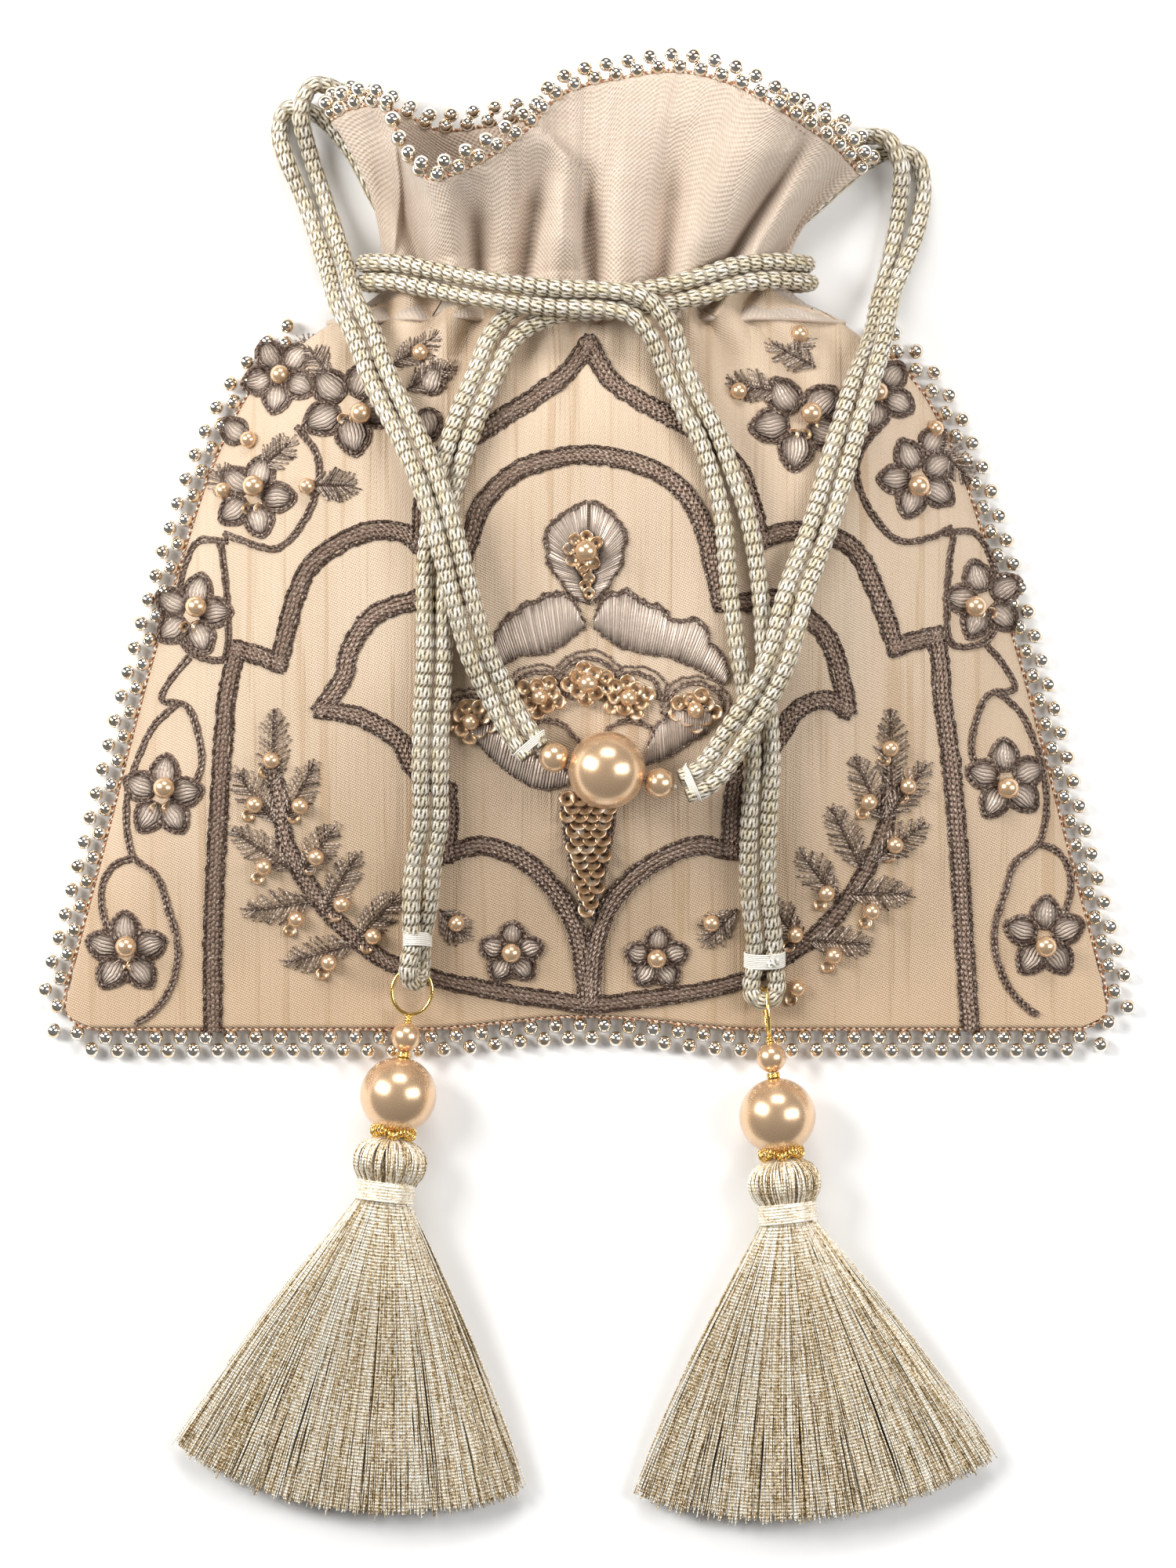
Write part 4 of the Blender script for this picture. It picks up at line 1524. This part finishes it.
satin_patch(
    [
    (-23, -26.1), (-20.1, -20.3), (-15.9, -13.9), (-13.4, -11.2), (-10.2, -10.7), (-7.3, -8.3),
    (-3.8, -9.4), (-0.6, -13.6),
],
    [
    (-21.7, -28), (-17.2, -23.5), (-13.2, -21.3), (-9.2, -20.8), (-5.7, -19.7), (-2.8, -17.4),
    (-0.2, -15.5),
],
    lobes=4,
)
satin_patch(
    [
    (1.5, -13.6), (4.4, -9.4), (7.6, -7.8), (10.8, -10.4), (14.5, -10.9), (16.7, -14.1), (20.6, -13.8),
    (23.8, -15.5), (26.3, -20), (29.2, -25.1),
],
    [
    (1.5, -15.5), (4.4, -17.8), (7.6, -19.7), (11.6, -20.8), (15.6, -21.3), (19.6, -22.4), (23.6, -24.3),
    (27.9, -27),
],
    lobes=5,
)
satin_patch([
    (-0.1, -10.7), (-4.4, -7.2), (-7.3, -2.7), (-8.1, 2.4), (-5.8, 6.7), (-2.2, 8.5), (0.1, 10.4),
], [
    (0.1, -10.7), (-0.4, -6.9), (-1.5, -3.7), (-2.2, -0.5), (-1.5, 1.6), (-0.6, 2.7), (0.1, 3.4),
], 4, 0.8)
satin_patch([
    (0.9, -10.7), (4.6, -6.9), (7, -2.7), (7.9, 2.4), (6.3, 6.6), (3.3, 8.5), (0.7, 10.4),
], [
    (0.7, -10.7), (1.4, -6.9), (2, -3.7), (2.6, -0.5), (2, 1.6), (1.4, 2.7), (0.7, 3.4),
], 4, 0.8)
satin_patch([
    (-23.9, -36), (-19.6, -35.2), (-14, -38.4), (-9.2, -41.6), (-3.4, -44.8),
], [
    (-23.1, -36.8), (-20.4, -40.8), (-15.6, -45), (-9.2, -48.2), (-3.8, -47.5),
])
satin_patch(
    [(25.7, -32), (19.9, -31.7), (15.6, -34.1), (12.9, -38.4)],
    [(24.7, -36.8), (19.9, -39.5), (16.1, -41.8), (11.9, -43.4)],
)
for x, y, size in (
    (0.4, -26.9, 5.6), (-9.4, -29.2, 5.0), (9.6, -29.4, 5.0), (22.2, -31.8, 5.4), (-23.3, -34.0, 5.0),
):
    for grow in (0.0, 0.55, 1.7):
        turn = np.linspace(-0.25, math.pi + 0.25, 26)
        arc = np.stack([x + (size + grow) * np.cos(turn), y + 0.5 + (size * 0.8 + grow) * np.sin(turn)], 1)
        rim_parts.append(thread_on(arc, 0.26, 0.25, 0.55, 0.16))
for hand in (-1, 1):
    arc = [(0.4 + hand * off, y) for off, y in ((1.0, -39.5), (6.5, -34.8), (12.0, -35.6), (15.5, -38.6))]
    arc = smooth_line(arc, RIM_STEP)
    rim_parts.append(thread_on(arc, 0.3, 0.3, 0.5, 0.15))
    rim_parts.append(thread_on(arc + (0, 0.6), 0.26, 0.3, 0.7, 0.15))

# Sequins: round the drop's pearl, along the tier, and down the tapering column
for k in range(7):
    sequins.append(sequin_by(-0.4, -0.2, 3.0, 0.6 + k * 0.8, 1.35, tilt=0.2, lift=0.8))
for k in range(4):
    sequins.append(sequin(-0.2 + (k % 2) * 0.8, -4.2 - k * 1.5, 1.25, tilt=0.2, turn=1.5, lift=0.9))
for x, y in ((-9.4, -29.6), (0.4, -26.9), (8.6, -29.8), (22.2, -32.3), (-23.3, -34.6)):
    for k in range(9):
        off = 2.8 if k % 2 else 4.0
        sequins.append(sequin_by(x, y, off, k * 0.7 + x, 1.6, squash=0.8, tilt=0.22, lift=0.6))
for row in range(COLUMN_ROWS):
    y = -50.2 - row * 1.62
    half = 4.4 * (1 - row / COLUMN_ROWS) ** 0.75 + 0.4
    count = max(1, round(half / 1.2))
    for k in range(count):
        x = 0.5 + (k - (count - 1) / 2) * 2.5 + (row % 2 - 0.5) * 0.9
        turn = math.pi / 2 + 0.3 * math.sin(7.0 * k + row)
        sequins.append(sequin(x, y, 1.7, hole=0.45, tilt=-0.34, turn=turn, lift=0.95))
for hand in (-1, 1):
    edge = [(0.5 + hand * off, y) for off, y in ((5.2, -49.5), (4.2, -58), (2.0, -68), (0, -74.5))]
    edge = corner_line(edge, RIM_STEP)
    rim_parts.append(thread_on(edge, 0.4, 0.4, 0.15))
    rim_parts.append(thread_on(edge + (hand * 0.7, 0), 0.3, 0.3, 0.6))


sewn("satin_petals", petal_parts, satin_thread)
sewn("corded_rims", rim_parts, dark_thread)
sewn("feather_leaves", leaf_parts, satin_thread)

copper_sequin = Finish("copper_sequin", roughness=0.3, metallic=0.55)
patina = copper_sequin.noise(copper_sequin.place(), 0.7, 3)
copper_sequin.set("Base Color", copper_sequin.ramp(
    patina, (0.35, (0.33, 0.19, 0.10)), (0.55, (0.52, 0.34, 0.19)), (0.68, (0.78, 0.68, 0.56)),
))
copper_sequin.bump(patina, 0.05)
points, faces, _, _ = joined([(p, f, 0, 0) for p, f in sequins])
piece("copper_sequins", points, faces, copper_sequin, "bag", "gold_pearl")

# Pearls: the eleven large ones stand in the flowers and the drop, the small ones on the leaves
PEARLS = [(hand * x, y, f"flower_pearl_{side}_{k + 1}")
          for hand, side in ((-1, "left"), (1, "right"))
          for k, (x, y) in enumerate(((94.2, -80.5), (86.2, -48), (79.6, -11), (67.8, 13.5), (45.7, 28)))]
PEARLS.append((0, -0.2, "centre_motif_pearl"))
for x, y, node in PEARLS:
    low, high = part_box(node)
    points, faces = ball((np.array(low) + np.array(high)) / 2 / MM, PEARL_R, (1, 0.2, 0), 0.4, 28, 16)
    piece(f"{node}_coat", points, faces, gold_pearl, "bag", "gold_pearl", [node])
for name, spots, radius, lift, around, rows in (
    ("leaf_pearls", LEAF_PEARLS, LEAF_PEARL_R, LEAF_PEARL_R * 0.75, 16, 10),
    ("small_flower_pearls", SEWN_PEARLS, SEWN_PEARL_R, 1.9, 24, 14),
):
    points, faces = bead_cloud(on_silk(spots, lift), radius, around, rows)
    piece(name, points, faces, gold_pearl, "bag", "gold_pearl")

bpy.context.view_layer.update()
